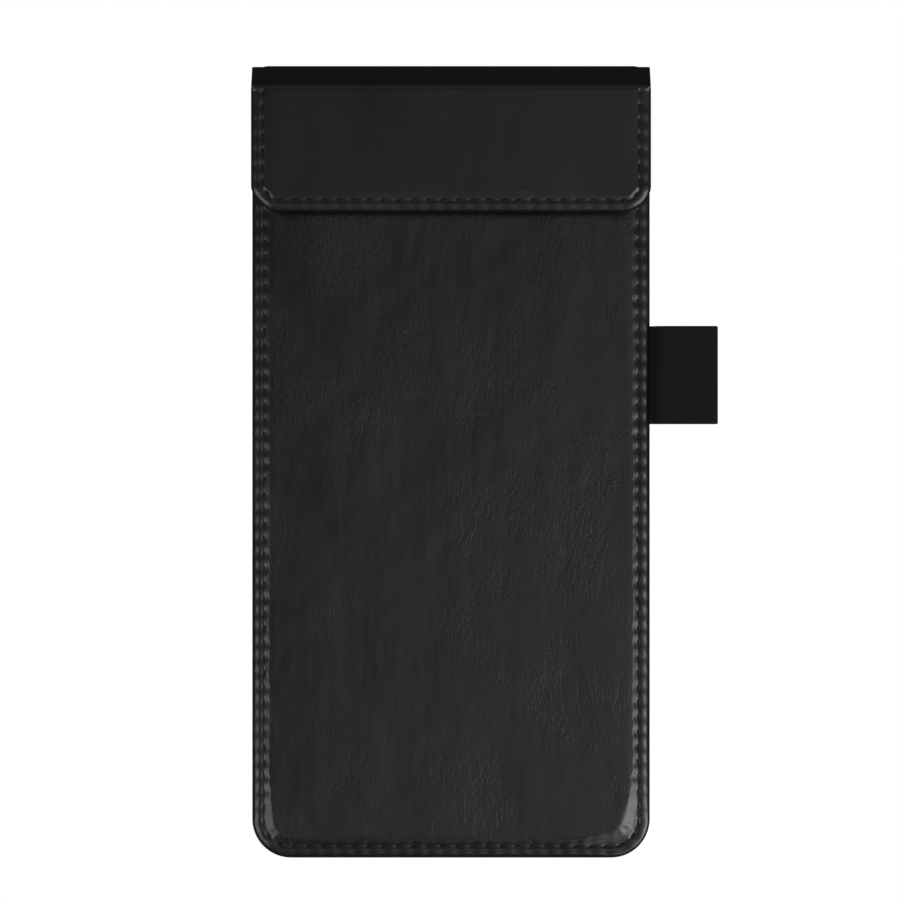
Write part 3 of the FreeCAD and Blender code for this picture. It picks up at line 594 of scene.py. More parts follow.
def make_webbing():
    """Knitted black elastic: ribs along the strip and fine rows across it, from the strip's
    own map, whose unit is a millimetre."""
    material, tree, shader = new_material("black_webbing", (0.005, 0.005, 0.0052), 0.85, 0.2)
    shader.inputs["Sheen Weight"].default_value = 0.03
    shader.inputs["Sheen Roughness"].default_value = 0.6
    strip = add_node(tree, "ShaderNodeUVMap", uv_map="strip").outputs["UV"]
    split = add_node(tree, "ShaderNodeSeparateXYZ", {0: strip}).outputs
    ribs = math_node(tree, "SINE", math_node(tree, "MULTIPLY", split["X"], 2 * math.pi / 0.75))
    half_turn = math_node(tree, "MULTIPLY", math_node(tree, "SIGN", ribs), math.pi / 2)
    rows = math_node(tree, "SINE", math_node(tree, "MULTIPLY_ADD", split["Y"], 2 * math.pi / 0.6, half_turn))
    fuzz = noise(tree, in_millimetres(tree), 4.0, 3.0)
    height = summed(tree, [(math_node(tree, "ABSOLUTE", ribs), 0.05), (rows, 0.03), (fuzz, 0.05)])
    bump = add_node(tree, "ShaderNodeBump", {"Height": height, "Strength": 1.0, "Distance": MM})
    tree.links.new(bump.outputs["Normal"], shader.inputs["Normal"])
    # Partly painted shade: the base colour is darker in the troughs between the knitted rows, following their relief,
    # and also uneven at random with the fuzz noise.
    tone = spread(tree, math_node(tree, "ADD", rows, fuzz), -0.6, 1.4)
    tinted = add_node(tree, "ShaderNodeMix", {
        "Factor": tone, "A": (0.0030, 0.0030, 0.0031, 1), "B": (0.0075, 0.0075, 0.0078, 1)}, data_type="RGBA")
    tree.links.new(tinted.outputs["Result"], shader.inputs["Base Color"])
    return material


def make_thread():
    """Black waxed thread of twisted plies, from the thread's own map."""
    material, tree, shader = new_material("black_thread", (0.007, 0.007, 0.007), 0.7, 0.25)
    run = add_node(tree, "ShaderNodeUVMap", uv_map="strip").outputs["UV"]
    split = add_node(tree, "ShaderNodeSeparateXYZ", {0: run}).outputs
    turn = math_node(tree, "MULTIPLY_ADD", split["X"], 3 * 2 * math.pi, math_node(tree, "MULTIPLY", split["Y"], 7.0))
    plies = math_node(tree, "ABSOLUTE", math_node(tree, "SINE", turn))
    bump = add_node(tree, "ShaderNodeBump", {"Height": plies, "Strength": 0.8, "Distance": 0.06 * MM})
    tree.links.new(bump.outputs["Normal"], shader.inputs["Normal"])
    # Painted shade and painted highlight: the base colour is darker in the grooves between the plies and lighter on
    # their crests, following the plies' relief.
    tinted = add_node(tree, "ShaderNodeMix", {
        "Factor": plies, "A": (0.005, 0.005, 0.005, 1), "B": (0.013, 0.013, 0.0135, 1)}, data_type="RGBA")
    tree.links.new(tinted.outputs["Result"], shader.inputs["Base Color"])
    return material


def make_board():
    """Grey chipboard: short fibres pressed flat, darker flecks."""
    material, tree, shader = new_material("grey_board", (0.30, 0.28, 0.24), 0.92, 0.2)
    place = in_millimetres(tree)
    stretched = add_node(tree, "ShaderNodeVectorMath", {0: place, 1: (0.5, 2.2, 1.0)}, operation="MULTIPLY").outputs[0]
    fibres = noise(tree, stretched, 1.6, 5.0, 0.7)
    flecks = spread(tree, noise(tree, place, 1.1, 2.0), 0.62, 0.7)
    tone = math_node(tree, "SUBTRACT", fibres, math_node(tree, "MULTIPLY", flecks, 0.35), clamp=True)
    tinted = add_node(tree, "ShaderNodeMix", {
        "Factor": tone, "A": (0.16, 0.15, 0.13, 1), "B": (0.42, 0.39, 0.34, 1)}, data_type="RGBA")
    tree.links.new(tinted.outputs["Result"], shader.inputs["Base Color"])
    bump = add_node(tree, "ShaderNodeBump", {"Height": fibres, "Strength": 0.6, "Distance": 0.15 * MM})
    tree.links.new(bump.outputs["Normal"], shader.inputs["Normal"])
    return material


def make_foam():
    """Pale open foam: small round cells."""
    material, tree, shader = new_material("pale_foam", (0.6, 0.6, 0.58), 0.95, 0.15)
    cells = add_node(tree, "ShaderNodeTexVoronoi", {"Vector": in_millimetres(tree), "Scale": 2.2}).outputs["Distance"]
    tinted = add_node(tree, "ShaderNodeMix", {
        "Factor": cells, "A": (0.66, 0.66, 0.63, 1), "B": (0.42, 0.42, 0.40, 1)}, data_type="RGBA")
    tree.links.new(tinted.outputs["Result"], shader.inputs["Base Color"])
    bump = add_node(tree, "ShaderNodeBump", {"Height": cells, "Strength": 0.7, "Distance": 0.2 * MM})
    tree.links.new(bump.outputs["Normal"], shader.inputs["Normal"])
    return material


def make_metal(name, colour, roughness, brush):
    """Rolled or plated metal: fine lines along X, of the given depth in millimetres."""
    material, tree, shader = new_material(name, colour, roughness)
    shader.inputs["Metallic"].default_value = 1.0
    place = in_millimetres(tree)
    stretched = add_node(tree, "ShaderNodeVectorMath", {0: place, 1: (0.08, 9.0, 9.0)}, operation="MULTIPLY").outputs[0]
    lines = noise(tree, stretched, 1.0, 3.0, 0.6)
    smears = noise(tree, place, 0.12, 3.0)
    tree.links.new(summed(tree, [(lines, 0.12), (smears, 0.25), (1.0, roughness - 0.18)]), shader.inputs["Roughness"])
    bump = add_node(tree, "ShaderNodeBump", {"Height": lines, "Strength": 1.0, "Distance": brush * MM})
    tree.links.new(bump.outputs["Normal"], shader.inputs["Normal"])
    return material


PANEL_LEATHER = make_leather("panel_leather", (0.0065, 0.0065, 0.0067), 0.30, 1.0, 0.72)
FLAP_LEATHER = make_leather("flap_leather", (0.0060, 0.0060, 0.0062), 0.33, 0.35, 0.2)
BACK_LEATHER = make_leather("back_leather", (0.0088, 0.0088, 0.0090), 0.36, 0.8, 0.6)
LINING_LEATHER = make_leather("lining_leather", (0.0075, 0.0075, 0.0078), 0.40, 0.5, 0.3)
WEBBING_CLOTH = make_webbing()
THREAD = make_thread()
FOAM = make_foam()
BOARD = make_board()
STEEL = make_metal("rolled_steel", (0.35, 0.35, 0.36), 0.42, 0.02)
MAGNET = make_metal("nickel_plating", (0.62, 0.60, 0.57), 0.26, 0.005)

for node, material in (("core_board", BOARD), ("flap_board", BOARD), ("strike_plate", STEEL), ("flap_magnets", MAGNET)):
    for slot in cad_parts[node].material_slots:
        slot.material = material


def set_slack(piece, half_width, low, high, start=3.6, full=6.5):
    """Write how slack the leather is at each vertex, from its distance to the outline."""
    points = np.zeros(len(piece.data.vertices) * 3, np.float32)
    piece.data.vertices.foreach_get("co", points)
    points = points.reshape(-1, 3) / MM
    inset = inset_of(points[:, 0], points[:, 1], half_width, low, high)
    attribute = piece.data.attributes.new("slack", "FLOAT", "POINT")
    attribute.data.foreach_set("value", smooth_step((inset - start) / (full - start)).astype(np.float32))


front_leather = make_piece("front_leather", front_patches(), PANEL_LEATHER)
set_slack(front_leather, HALF_WIDTH, FREE_END, PANEL_END)
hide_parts("front_cover")
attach(front_leather, "root")


def foam_patches():
    """Foam between the board and the front leather: rings round its edge, then a grid."""
    seam = panel_seam(3)
    insets = np.array([6.3, 6.3, 6.8, 7.7, 10.0])[:, None]
    rings = carry(seam, insets, BOARD_TOP + 0.01)
    rings[1:, :, 2] = front_height(rings[1:, :, 0], rings[1:, :, 1], insets[1:], 0.5) - LEATHER - FOAM_GAP
    top_steps = round(2 * (HALF_WIDTH - SEAM_INSET) / STITCH_PITCH) * 3
    return [rings, panel_fill(rings[-1], top_steps, lambda x, y: pad_height(x, y) - LEATHER - FOAM_GAP)]


foam = make_piece("foam_sheet", foam_patches(), FOAM)
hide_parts("foam_pad")
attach(foam, "root")


# Thread

def thread_patches(seam, surface, centres):
    """One tube for each stitch, centred where the stitch count is whole: a bow that lies in
    its bed in the middle and dives into the leather at both ends, where its ring closes.
    surface gives the bed's height and the side it faces."""
    places, _, phase = seam
    share = np.linspace(0, 1, THREAD_RINGS)
    bow = np.sin(np.pi * share) ** 0.6
    radius = THREAD_RADIUS * (0.7 + 0.3 * bow)
    radius[[0, -1]] = 0
    angle = np.linspace(0, 2 * np.pi, THREAD_SIDES + 1)[None, :]
    patches, maps = [], []
    for centre in centres:
        counts = centre + STITCH_SPAN * (share - 0.5)
        line = np.stack([np.interp(counts, phase, places[:, 0]), np.interp(counts, phase, places[:, 1])], 1)
        along = np.gradient(line, axis=0)
        along /= np.hypot(along[:, 0], along[:, 1])[:, None]
        bed, up = surface(*line[THREAD_RINGS // 2], centre)
        middle = bed + up * (0.4 * THREAD_RADIUS - (1 - bow) * THREAD_DIVE)
        across = radius[:, None] * np.cos(angle)
        x = line[:, :1] + across * along[:, 1:]
        y = line[:, 1:] - across * along[:, :1]
        z = middle[:, None] + radius[:, None] * np.sin(angle)
        patches.append(np.dstack([x, y, z]))
        turn = np.broadcast_to(angle / (2 * np.pi), x.shape)
        maps.append(np.dstack([turn, np.broadcast_to(share[:, None], x.shape)]))
    return patches, maps


def make_stitching(name, seam, surface, centres, node, body):
    patches, maps = thread_patches(seam, surface, centres)
    stitching = make_piece(name, patches, THREAD, maps=maps)
    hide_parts(node)
    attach(stitching, body)


def ring_centres(seam):
    """Stitches of the closed seam, but for those that the two square corners cut."""
    corner = round(run_ends(*BODY_PITCH_RUNS)[-1] / STITCH_PITCH)
    return [count for count in range(1, round(seam[2][-1])) if count != corner]


def on_panel(x, y, phase):
    return front_height(x, y, SEAM_INSET, phase), 1


body_seam = panel_seam(12)
make_stitching("front_thread", body_seam, on_panel, ring_centres(body_seam), "front_stitching", "root")


# Covers that run on over a fold

SPINE_RUN = HIGH_FOLD - LOW_FOLD
SPINE_LENGTH = float(np.hypot(*SPINE_RUN))
SPINE_UP = SPINE_RUN / SPINE_LENGTH
SPINE_OUT = np.array([SPINE_UP[1], -SPINE_UP[0]])
SPINE_OUT_ANGLE = math.atan2(SPINE_OUT[1], SPINE_OUT[0])


def trimmed(seam, per_stitch):
    """The seam without its first and last stitch, where the leather runs on to the fold."""
    return tuple(part[per_stitch:-per_stitch] for part in seam)


def open_cover(seam, skip, bottom_steps, coarse_insets, hem, rim, swell, height_of):
    """A sewn cover as far as the line where it runs on to its fold. Heights are counted
    from the face that lies on the board. Returns its grids, and the insets, heights and
    sideways places of the columns that reach that line."""
    phase = seam[2][None]
    shoulder = carry(seam, SHOULDER_INSETS[:, None], 0)
    shoulder[..., 2] = height_of(shoulder[..., 0], shoulder[..., 1], SHOULDER_INSETS[:, None], phase)
    turned = turned_edge(seam, hem, rim, shoulder[0, :, 2], swell)
    coarse = carry(seam, coarse_insets[:, None], 0)
    coarse[..., 2] = height_of(coarse[..., 0], coarse[..., 1], coarse_insets[:, None], phase)
    bridge = np.stack([shoulder[-1], thin_out(coarse[0], skip)])
    coarse = coarse[:, ::skip]
    ring = coarse[-1]
    side_steps = (len(ring) - 1 - bottom_steps) // 2
    left, bottom, right = (ring[:side_steps + 1], ring[side_steps:side_steps + bottom_steps + 1],
                           ring[side_steps + bottom_steps:][::-1])
    low, half = bottom[:, 1].min() - coarse_insets[-1], bottom[:, 0].max() + coarse_insets[-1]

    def height_at(x, y):
        return height_of(x, y, inset_of(x, y, half, low, 1000), 0.5)

    top = ring[0] + (ring[-1] - ring[0]) * np.linspace(0, 1, bottom_steps + 1)[:, None]
    top[1:-1, 2] = height_at(top[1:-1, 0], top[1:-1, 1])
    grid = fill_surface((left, bottom, right, top), height_at)
    under_insets = np.array([TUCK_DEPTH, HEM_WIDTH, HEM_WIDTH + 0.05])[:, None]
    under = carry(seam, under_insets, np.array([hem, hem, 0])[:, None])
    columns = np.concatenate([turned[:, 0], shoulder[1:, 0], coarse[:, 0], grid[0, 1:-1],
                              coarse[::-1, -1], shoulder[:0:-1, -1], turned[::-1, -1]])
    return [turned, shoulder, bridge, coarse, grid, under], columns


def fold_path(flat, axis, angles, run, lengths):
    """The sheet's inner face, from above down to the spine: rows of place and outward
    normal. It runs flat to the fold, turns about the fold's axis, and follows the spine."""
    places = [(y, z) for y, z in flat] + [tuple(axis)] * len(angles)
    normals = [math.radians(angle) for angle in [angles[0]] * len(flat) + list(angles)]
    for length in lengths:
        places.append(tuple(axis + np.array(run) * length))
        normals.append(math.radians(angles[-1]))
    normals = np.array(normals)
    return np.array(places), np.stack([np.cos(normals), np.sin(normals)], 1)


def sweep(columns_x, heights, places, normals):
    """Rows of points at sideways places and heights above a path's inner face."""
    heights = np.broadcast_to(heights, columns_x.shape)
    y = places[:, :1] + normals[:, :1] * heights
    z = places[:, 1:] + normals[:, 1:] * heights
    return np.dstack([columns_x, y, z])


def set_level(patches, level, sign):
    """Patches whose heights are turned into levels: above the face, or below it."""
    for patch in patches:
        patch[..., 2] = level + sign * patch[..., 2]
    return patches


def spine_columns(columns, side, spine_side):
    """Sideways places and heights of the same columns on the spine, where the leather is a
    single sheet, thinned towards its rounded side edges."""
    angle = np.linspace(-math.pi / 2, math.pi / 2, EDGE_ROWS)
    x, heights = columns[:, 0].copy(), np.zeros(len(columns))
    inset = side - abs(x)
    heights[:] = LEATHER - 0.25 * (1 - smooth_step((inset - SEAM_INSET) / 1.6))
    edge_insets = 0.5 * (1 - np.cos(angle))
    edge_heights = (LEATHER - 0.25) / 2 * (1 + np.sin(angle))
    x[:EDGE_ROWS] = -(side - edge_insets)
    x[-EDGE_ROWS:] = (side - edge_insets)[::-1]
    heights[:EDGE_ROWS] = edge_heights
    heights[-EDGE_ROWS:] = edge_heights[::-1]
    return x * spine_side / side, heights


def run_on(columns, side, spine_side, places, normals, morph, height_of, hem, phase):
    """The leather from its last sewn row over the fold to the middle of the spine: outer
    face and inner face, each column going over from its sewn profile to the spine's."""
    x, base = columns[:, 0], columns[:, 2]
    inset = side - abs(x)
    sewn = np.repeat(base[None], len(places), 0)
    inner = slice(EDGE_ROWS, -EDGE_ROWS)
    sewn[1:, inner] = height_of(x[None, inner], places[1:, :1], inset[None, inner], phase[1:, None])
    spine_x, spine_heights = spine_columns(columns, side, spine_side)
    share = morph[:, None]
    outer = sweep((1 - share) * x + share * spine_x, (1 - share) * sewn + share * spine_heights,
                  places, normals)
    under_x = np.array([-1, 1])[:, None] * np.array([[side - TUCK_DEPTH, side - HEM_WIDTH, side - HEM_WIDTH - 0.05]])
    under_x = np.concatenate([under_x[0], under_x[1][::-1]])
    under_heights = np.array([hem, hem, 0, 0, hem, hem])
    spine_under_x = under_x * spine_side / side
    spine_under_x[0], spine_under_x[-1] = spine_x[0], spine_x[-1]
    inside = sweep((1 - share) * under_x + share * spine_under_x, (1 - share) * under_heights,
                   places, normals)
    inside[0, 0], inside[0, -1] = outer[0, 0], outer[0, -1]
    return outer, inside


def true_pitch(runs):
    """The seam's length shared out over a whole number of stitches."""
    total = run_ends(*runs)[-1]
    return total / round(total / STITCH_PITCH)


def flap_seam(per_stitch):
    return tongue_seam(*FLAP_PITCH_RUNS, per_stitch, FLAP_CORNER_CUTS)


FLAP_PITCH = true_pitch(FLAP_PITCH_RUNS)
BODY_PITCH = true_pitch(BODY_PITCH_RUNS)


def fade_past(y, end):
    """1 up to the seam's end and 0 a stitch beyond it."""
    return 1 - smooth_step((y - end) / 2.0)


def flap_height(x, y, inset, phase):
    """Flap leather above its board: a low shoulder that flattens out over the magnets."""
    sewn = fade_past(y, FLAP_SEAM_START)
    rise = 1.0 + 0.1 * ripple(x, y, 14, 21)
    height = sewn_height(inset, phase, FLAP_RIM_TOP - FLAP_BOARD_TOP, LEATHER, rise, sewn, 0.12)
    return height + smooth_step((inset - 4) / 5) * 0.03 * ripple(x, y, 26, 22)


def flap_leather_patches():
    seam = trimmed(flap_seam(PER_STITCH), PER_STITCH)
    hem = FLAP_SEAM_PLANE - FLAP_BOARD_TOP + 0.01
    patches, columns = open_cover(seam, 4, 75, np.array([6.55, 7.0]), hem, FLAP_RIM_TOP - FLAP_BOARD_TOP,
                                  FLAP_EDGE_SWELL, flap_height)
    set_level(patches, FLAP_BOARD_TOP, 1)
    start, spine_angle = seam[0][0, 1], SPINE_OUT_ANGLE
    turn = (math.pi / 2 - spine_angle) / 2
    tangent = FLAP_BEND_RADIUS * math.tan(turn)
    half_way = (math.pi / 2 + spine_angle) / 2
    centre = HIGH_FOLD + unit(half_way) * (LEATHER - FLAP_BEND_RADIUS) / math.cos(turn)
    flat_y = np.arange(start, HIGH_FOLD[0] - tangent, 0.36)
    angles = np.linspace(math.pi / 2, spine_angle, 15)
    share = np.linspace(0, 1, 15)
    least = 1 - (LEATHER - np.hypot(*(centre + unit(half_way) * FLAP_BEND_RADIUS - HIGH_FOLD))) / LEATHER
    depths = LEATHER * (1 - (1 - least) * np.sin(np.pi * share) ** 2)
    places = [(y, FLAP_BOARD_TOP) for y in flat_y]
    places += [tuple(centre + unit(angle) * (FLAP_BEND_RADIUS - depth)) for angle, depth in zip(angles, depths)]
    places += [tuple(HIGH_FOLD - SPINE_UP * length) for length in np.linspace(tangent, SPINE_LENGTH / 2, 4)[1:]]
    places = np.array(places)
    normals = np.array([unit(math.pi / 2)] * len(flat_y) + [unit(angle) for angle in angles]
                       + [unit(spine_angle)] * 3)
    normals[len(flat_y):len(flat_y) + 15] *= (depths / LEATHER)[:, None]
    steps = np.arange(len(places))
    morph = smooth_step((steps - len(flat_y) + 1) / 8)
    phase = (FLAP_SEAM_START - places[:, 0]) / FLAP_PITCH
    outer, inside = run_on(columns, FLAP_HALF_WIDTH, FLAP_HALF_WIDTH, places, normals, morph,
                           flap_height, hem, phase)
    return patches + [outer, inside]


flap_leather = make_piece("flap_leather", flap_leather_patches(), FLAP_LEATHER)
set_slack(flap_leather, FLAP_HALF_WIDTH, FLAP_FREE_END, 140)
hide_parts("flap_cover", "spine_cover")
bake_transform(flap_leather)


FLAT_SEAM = (0.17, 0.3)
BACK_BED = BED_DEPTH + sum(FLAT_SEAM)


def back_height(x, y, inset, phase):
    """Back leather, flat against the table, with the seam's groove round three sides and
    the panel seam's groove across it."""
    side_sewn = fade_past(y, PANEL_END - SEAM_INSET)
    height = LEATHER - side_sewn * seam_groove(inset - SEAM_INSET, phase, *FLAT_SEAM)
    across = PANEL_END - SEAM_INSET
    step = 2 * (HALF_WIDTH - SEAM_INSET) / round(2 * (HALF_WIDTH - SEAM_INSET) / STITCH_PITCH)
    within = smooth_step((HALF_WIDTH - SEAM_INSET + 0.6 - abs(x)) / 0.6)
    cross = within * seam_groove(y - across, (x - HALF_WIDTH + SEAM_INSET) / step, *FLAT_SEAM)
    return height - cross


def back_leather_patches():
    per_stitch = 10
    seam = trimmed(tongue_seam(*BODY_PITCH_RUNS, per_stitch), per_stitch)
    hem = LEATHER - SEAM_PLANE + 0.01
    patches, columns = open_cover(seam, 2, 125, np.array([6.9, 8.2, 10.0]), hem, LEATHER, EDGE_SWELL,
                                  back_height)
    set_level(patches, LEATHER, -1)
    start = seam[0][0, 1]
    seam_rows = np.concatenate([[start], np.linspace(start + 1.5, 101.2, 5), np.linspace(101.5, 103.5, 9),
                                np.linspace(104.2, 113.4, 9)])
    flat = [(y, LEATHER) for y in seam_rows]
    angles = np.linspace(-90, math.degrees(SPINE_OUT_ANGLE), 13)
    places, normals = fold_path(flat, LOW_FOLD, angles, SPINE_UP,
                                np.array([0.25, 0.5, 0.75, 1]) * SPINE_LENGTH / 2)
    morph = smooth_step((places[:, 0] - 107) / 5)
    morph[len(flat):] = 1
    phase = (PANEL_END - SEAM_INSET - places[:, 0]) / BODY_PITCH
    outer, inside = run_on(columns, HALF_WIDTH, FLAP_HALF_WIDTH, places, normals, morph,
                           back_height, hem, phase)
    return patches + [outer, inside]


back_leather = make_piece("back_leather", back_leather_patches(), BACK_LEATHER)
set_slack(back_leather, HALF_WIDTH, FREE_END, 140)
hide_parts("back_cover", "spine_cover")
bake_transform(back_leather)


def on_back(x, y, phase):
    """The bed of a stitch in the back leather, which faces down."""
    return BACK_BED, -1


def on_flap(x, y, phase):
    return FLAP_BOARD_TOP + flap_height(x, y, SEAM_INSET, phase), 1


make_stitching("back_thread", body_seam, on_back, ring_centres(body_seam), "back_stitching", "root")
flap_run = flap_seam(12)
flap_stitches = range(1, round(flap_run[2][-1]))
make_stitching("flap_thread", flap_run, on_flap, flap_stitches, "flap_front_stitching", "flap")


# Linings

def strip_patches(side, places, normals, thickness, edge=0.35):
    """A single sheet along a path: a flat face each side and half-round side edges."""
    angle = np.linspace(-math.pi / 2, math.pi / 2, 7)
    round_x = side - edge * (1 - np.cos(angle))
    round_height = (1 + np.sin(angle)) / 2
    middle = np.linspace(-side + 1.5, side - 1.5, 60)
    x = np.concatenate([-round_x, middle, round_x[::-1]])
    share = np.concatenate([round_height, np.ones(60), round_height[::-1]])
    outer = sweep(np.repeat(x[None], len(places), 0), share[None] * thickness[:, None], places, normals)
    under_x = np.repeat(x[None, [0, -1]], len(places), 0)
    return [outer, sweep(under_x, 0, places, normals)]


def lower_lining_patches():
    """Gutter lining from under the panel's rim to the fold, and on to mid-spine. Its normals
    point to the pad's side; it is pinched where it turns the sharp inner corner."""
    flat_y = np.array([101.2, 103, 105, 107, 109, 110.5, 111.4])
    corner = math.atan2(1, 0), math.atan2(-SPINE_OUT[1], -SPINE_OUT[0]) % (2 * math.pi)
    places = [(y, LEATHER) for y in flat_y] + [tuple(LOW_FOLD)] * 5
    angles = [math.pi / 2] * len(flat_y) + list(np.linspace(math.pi / 2 + 0.9, corner[1] - 0.9, 5))
    thickness = [LEATHER] * len(flat_y) + [1.25, 1.18, 1.15, 1.18, 1.25]
    for share in (0.32, 0.5, 0.75, 1.0):
        places.append(tuple(LOW_FOLD + SPINE_UP * SPINE_LENGTH / 2 * share))
        angles.append(corner[1])
        thickness.append(LEATHER)
    normals = np.array([unit(angle) for angle in angles])
    return strip_patches(HALF_WIDTH, np.array(places), normals, np.array(thickness))


lower_lining = make_piece("lower_lining", lower_lining_patches(), LINING_LEATHER)
set_slack(lower_lining, HALF_WIDTH, FREE_END, 140)
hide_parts("gutter_lining", "spine_lining")
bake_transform(lower_lining)


def lining_height(x, y, inset, phase):
    """Underside leather of the flap: flat under the board, with the seam's groove."""
    sewn = fade_past(y, FLAP_SEAM_START)
    return LEATHER - sewn * seam_groove(inset - SEAM_INSET, phase, *FLAT_SEAM)


def flap_lining_patches():
    """Flat under the board, then up the board's end to the fold and down to mid-spine. The
    sewn sides stay level as far as the fold, so each column goes its own way up."""
    per_stitch = 8
    seam = trimmed(flap_seam(per_stitch), per_stitch)
    floor_level = FLAP_UNDER + LEATHER
    hem = floor_level - FLAP_SEAM_PLANE + 0.01
    patches, columns = open_cover(seam, 2, 100, np.array([6.55, 7.0]), hem, LEATHER, FLAP_EDGE_SWELL,
                                  lining_height)
    set_level(patches, floor_level, -1)
    start = seam[0][0, 1]
    rows = 16
    run = np.linspace(0, 1, rows)
    middle_y = np.concatenate([np.linspace(start, FLAP_TAPER_START, 5), np.linspace(104.9, 106.6, 6), np.linspace(106.9, 108.1, 5)])
    climb = smooth_step((middle_y - FLAP_TAPER_START + 0.2) / 2.2)
    middle = np.stack([middle_y, floor_level + (FLAP_BOARD_TOP - floor_level) * climb], 1)
    slope = np.gradient(middle[:, 1], middle[:, 0])
    middle_normals = np.stack([slope, -np.ones(rows)], 1) / np.hypot(slope, 1)[:, None]
    side_y = start + (108.1 - start) * run
    side_climb = smooth_step((side_y - 107.0) / 1.1)
    side = np.stack([side_y, floor_level + (FLAP_BOARD_TOP - floor_level) * side_climb], 1)
    side_normals = np.repeat([[0.0, -1.0]], rows, 0)
    tail_angles = [math.radians(-90 - 25.5), *[SPINE_OUT_ANGLE - math.pi] * 4]
    tail = np.array([HIGH_FOLD, *[HIGH_FOLD - SPINE_UP * SPINE_LENGTH / 2 * share for share in (0.25, 0.5, 0.75, 1)]])
    tail_normals = np.array([unit(angle) for angle in tail_angles])
    tail_normals[0] *= 1.1
    morph = np.concatenate([smooth_step((side_y - 106.4) / 1.7), np.ones(5)])
    parts = []
    for path, normals in ((middle, middle_normals), (side, side_normals)):
        places = np.concatenate([path, tail])
        normals = np.concatenate([normals, tail_normals])
        phase = (FLAP_SEAM_START - places[:, 0]) / FLAP_PITCH
        parts.append(run_on(columns, FLAP_HALF_WIDTH, FLAP_HALF_WIDTH, places, normals, morph,
                            lining_height, hem, phase))
    blended = []
    for in_middle, at_side in zip(*parts):
        weight = smooth_step((FLAP_HALF_WIDTH - 4.2 - abs(at_side[..., 0])) / 1.2)[..., None]
        blended.append(weight * in_middle + (1 - weight) * at_side)
    return patches + blended


flap_lining = make_piece("flap_lining_leather", flap_lining_patches(), LINING_LEATHER)
set_slack(flap_lining, FLAP_HALF_WIDTH, FLAP_FREE_END, 140)
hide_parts("flap_lining", "spine_lining")
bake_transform(flap_lining)


def on_lining(x, y, phase):
    return FLAP_UNDER + BACK_BED, -1


make_stitching("flap_lower_thread", flap_run, on_lining, flap_stitches, "flap_back_stitching", "flap")


# Pen loop

def loop_patches():
    """A strip of webbing as a path in the x-z plane, from its upper tail in the seam round
    the sleeve to its lower tail, smoothed by quadratic B-splines, with half-round selvedges."""
    corners = np.array([
        (53.2, 2.0), (56.6, 2.0), (58.35, 2.35), (59.6, 4.2), (60.6, 5.8), (64.0, 5.8), (70.0, 5.82),
        (74.5, 5.78), (77.1, 5.6), (77.1, 3.2), (77.1, 0.7), (74.5, 0.52), (68.0, 0.5), (61.0, 0.5),
        (58.7, 0.55), (57.9, 1.15), (56.4, 1.2), (53.2, 1.2)])
    middles = (corners[1:] + corners[:-1]) / 2
    run = np.linspace(0, 1, 7)[:-1, None]
    curve = [corners[:1]]
    for before, corner, after in zip(middles, corners[1:-1], middles[1:]):
        curve.append((1 - run) ** 2 * before + 2 * run * (1 - run) * corner + run ** 2 * after)
    curve.append(corners[-1:])
    curve = np.concatenate(curve)
    along = np.gradient(curve, axis=0)
    along /= np.hypot(along[:, 0], along[:, 1])[:, None]
    normal = np.stack([-along[:, 1], along[:, 0]], 1)
    angle = np.linspace(-math.pi / 2, math.pi / 2, 7)
    half, edge = LOOP_WIDTH / 2, 0.35
    round_y = half - edge * (1 - np.cos(angle))
    y = np.concatenate([-round_y, np.linspace(-half + 0.8, half - 0.8, 30), round_y[::-1]])
    share = np.concatenate([np.sin(angle), np.ones(30), np.sin(angle)[::-1]]) * WEBBING / 2
    y_under = np.array([y[0], y[-1]])
    share_under = np.array([-1, -1]) * WEBBING / 2

    def face(y, share):
        points = curve[:, None] + normal[:, None] * share[None, :, None]
        depth = np.broadcast_to(y[None], points.shape[:2]) + LOOP_MIDDLE
        return np.dstack([points[..., 0], depth, points[..., 1]])

    steps = np.hypot(*np.diff(curve, axis=0).T)
    length = np.append(0, np.cumsum(steps))[:, None]
    maps = [np.dstack([np.broadcast_to(across, (len(curve), len(across))),
                       np.broadcast_to(length, (len(curve), len(across)))]) for across in (y, y_under)]
    return [face(y, share), face(y_under, share_under)], maps


loop_grids, loop_maps = loop_patches()
pen_loop = make_piece("pen_loop_webbing", loop_grids, WEBBING_CLOTH, maps=loop_maps)
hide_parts("pen_loop", "pen_loop_anchor")
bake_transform(pen_loop)


# Floor and light

FLOOR_REACH = 3.0
FLOOR_WHITE = (0.93, 0.93, 0.93)
FLOOR_BOUNCE = (0.10, 0.10, 0.10)


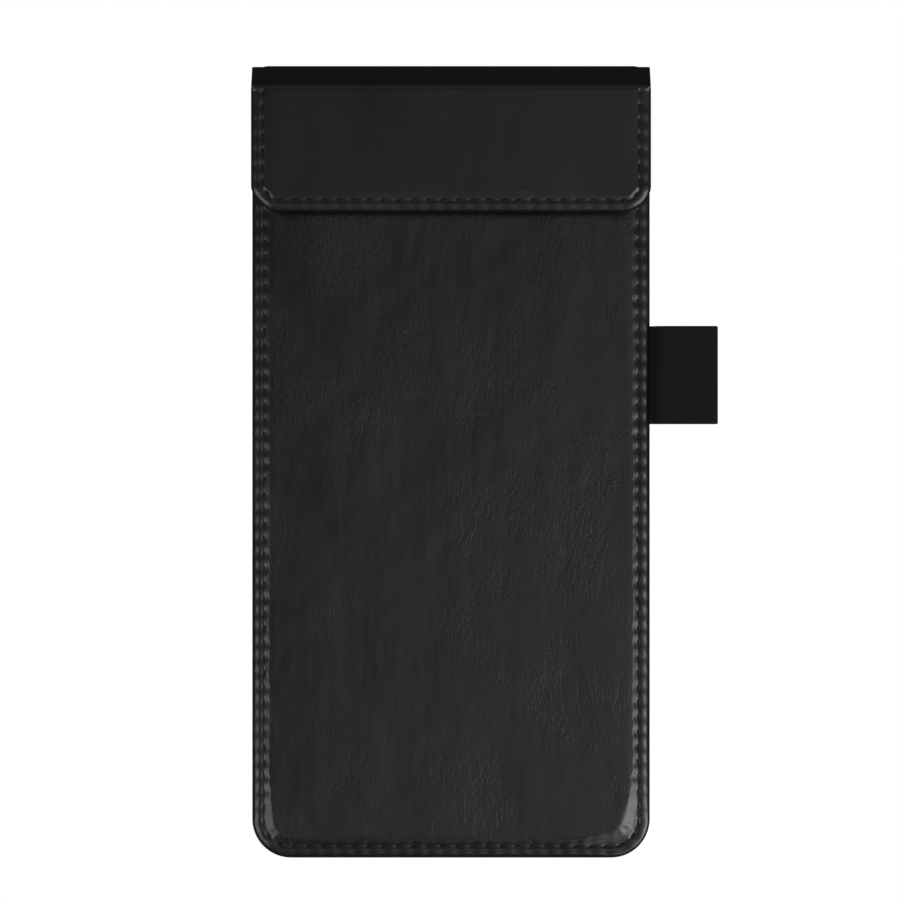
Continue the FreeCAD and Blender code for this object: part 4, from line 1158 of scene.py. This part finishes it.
def make_floor_material():
    """Even white where it is looked at, and a darker grey in reflections and bounced light,
    as a white table is round an object that black screens stand beside."""
    material = bpy.data.materials.new("white_table")
    material.use_nodes = True
    tree = material.node_tree
    tree.nodes.clear()
    seen = add_node(tree, "ShaderNodeLightPath").outputs["Is Camera Ray"]
    white = add_node(tree, "ShaderNodeEmission", {"Color": (1, 1, 1, 1), "Strength": 1.0}).outputs[0]
    paper = add_node(tree, "ShaderNodeBsdfDiffuse", {"Color": (*FLOOR_BOUNCE, 1)}).outputs[0]
    mixed = add_node(tree, "ShaderNodeMixShader", {0: seen, 1: paper, 2: white}).outputs[0]
    add_node(tree, "ShaderNodeOutputMaterial", {"Surface": mixed})
    return material


floor_mesh = bpy.data.meshes.new("floor")
floor_mesh.from_pydata([(x * FLOOR_REACH, y * FLOOR_REACH, 0) for x, y in ((-1, -1), (1, -1), (1, 1), (-1, 1))],
                       [], [(0, 1, 2, 3)])
floor = bpy.data.objects.new("floor", floor_mesh)
floor.location.z = -0.00002
floor_mesh.materials.append(make_floor_material())
scene.collection.objects.link(floor)


def soft_box(name, place, width, depth, radiance, aim=(0, 0, 0)):
    """A rectangular area light of that radiance, turned to its aim, its depth along Y."""
    light = bpy.data.lights.new(name, "AREA")
    light.shape = "RECTANGLE"
    light.size, light.size_y = width, depth
    light.energy = radiance * math.pi * width * depth
    lamp = bpy.data.objects.new(name, light)
    lamp.location = place
    lamp.rotation_euler = (Vector(aim) - Vector(place)).to_track_quat("-Z", "Y").to_euler()
    scene.collection.objects.link(lamp)


soft_box("soft_box_above", (0.25, -0.17, 1.75), 0.9, 0.75, 0.54)
soft_box("soft_box_right", (0.95, -0.46, 0.95), 0.65, 0.9, 5.8, (0, -0.46, 0))
soft_box("soft_box_left", (-0.95, -0.48, 0.95), 0.65, 0.9, 3.4, (0, -0.48, 0))
soft_box("soft_box_near", (0.55, -0.88, 0.95), 1.0, 0.5, 1.5)
soft_box("soft_box_far", (0, 1.0, 1.25), 1.4, 0.6, 0.3)

world = bpy.data.worlds.new("studio")
world.use_nodes = True
world.node_tree.nodes["Background"].inputs["Color"].default_value = (0.09, 0.09, 0.09, 1)
scene.world = world
scene.view_settings.view_transform = "Standard"
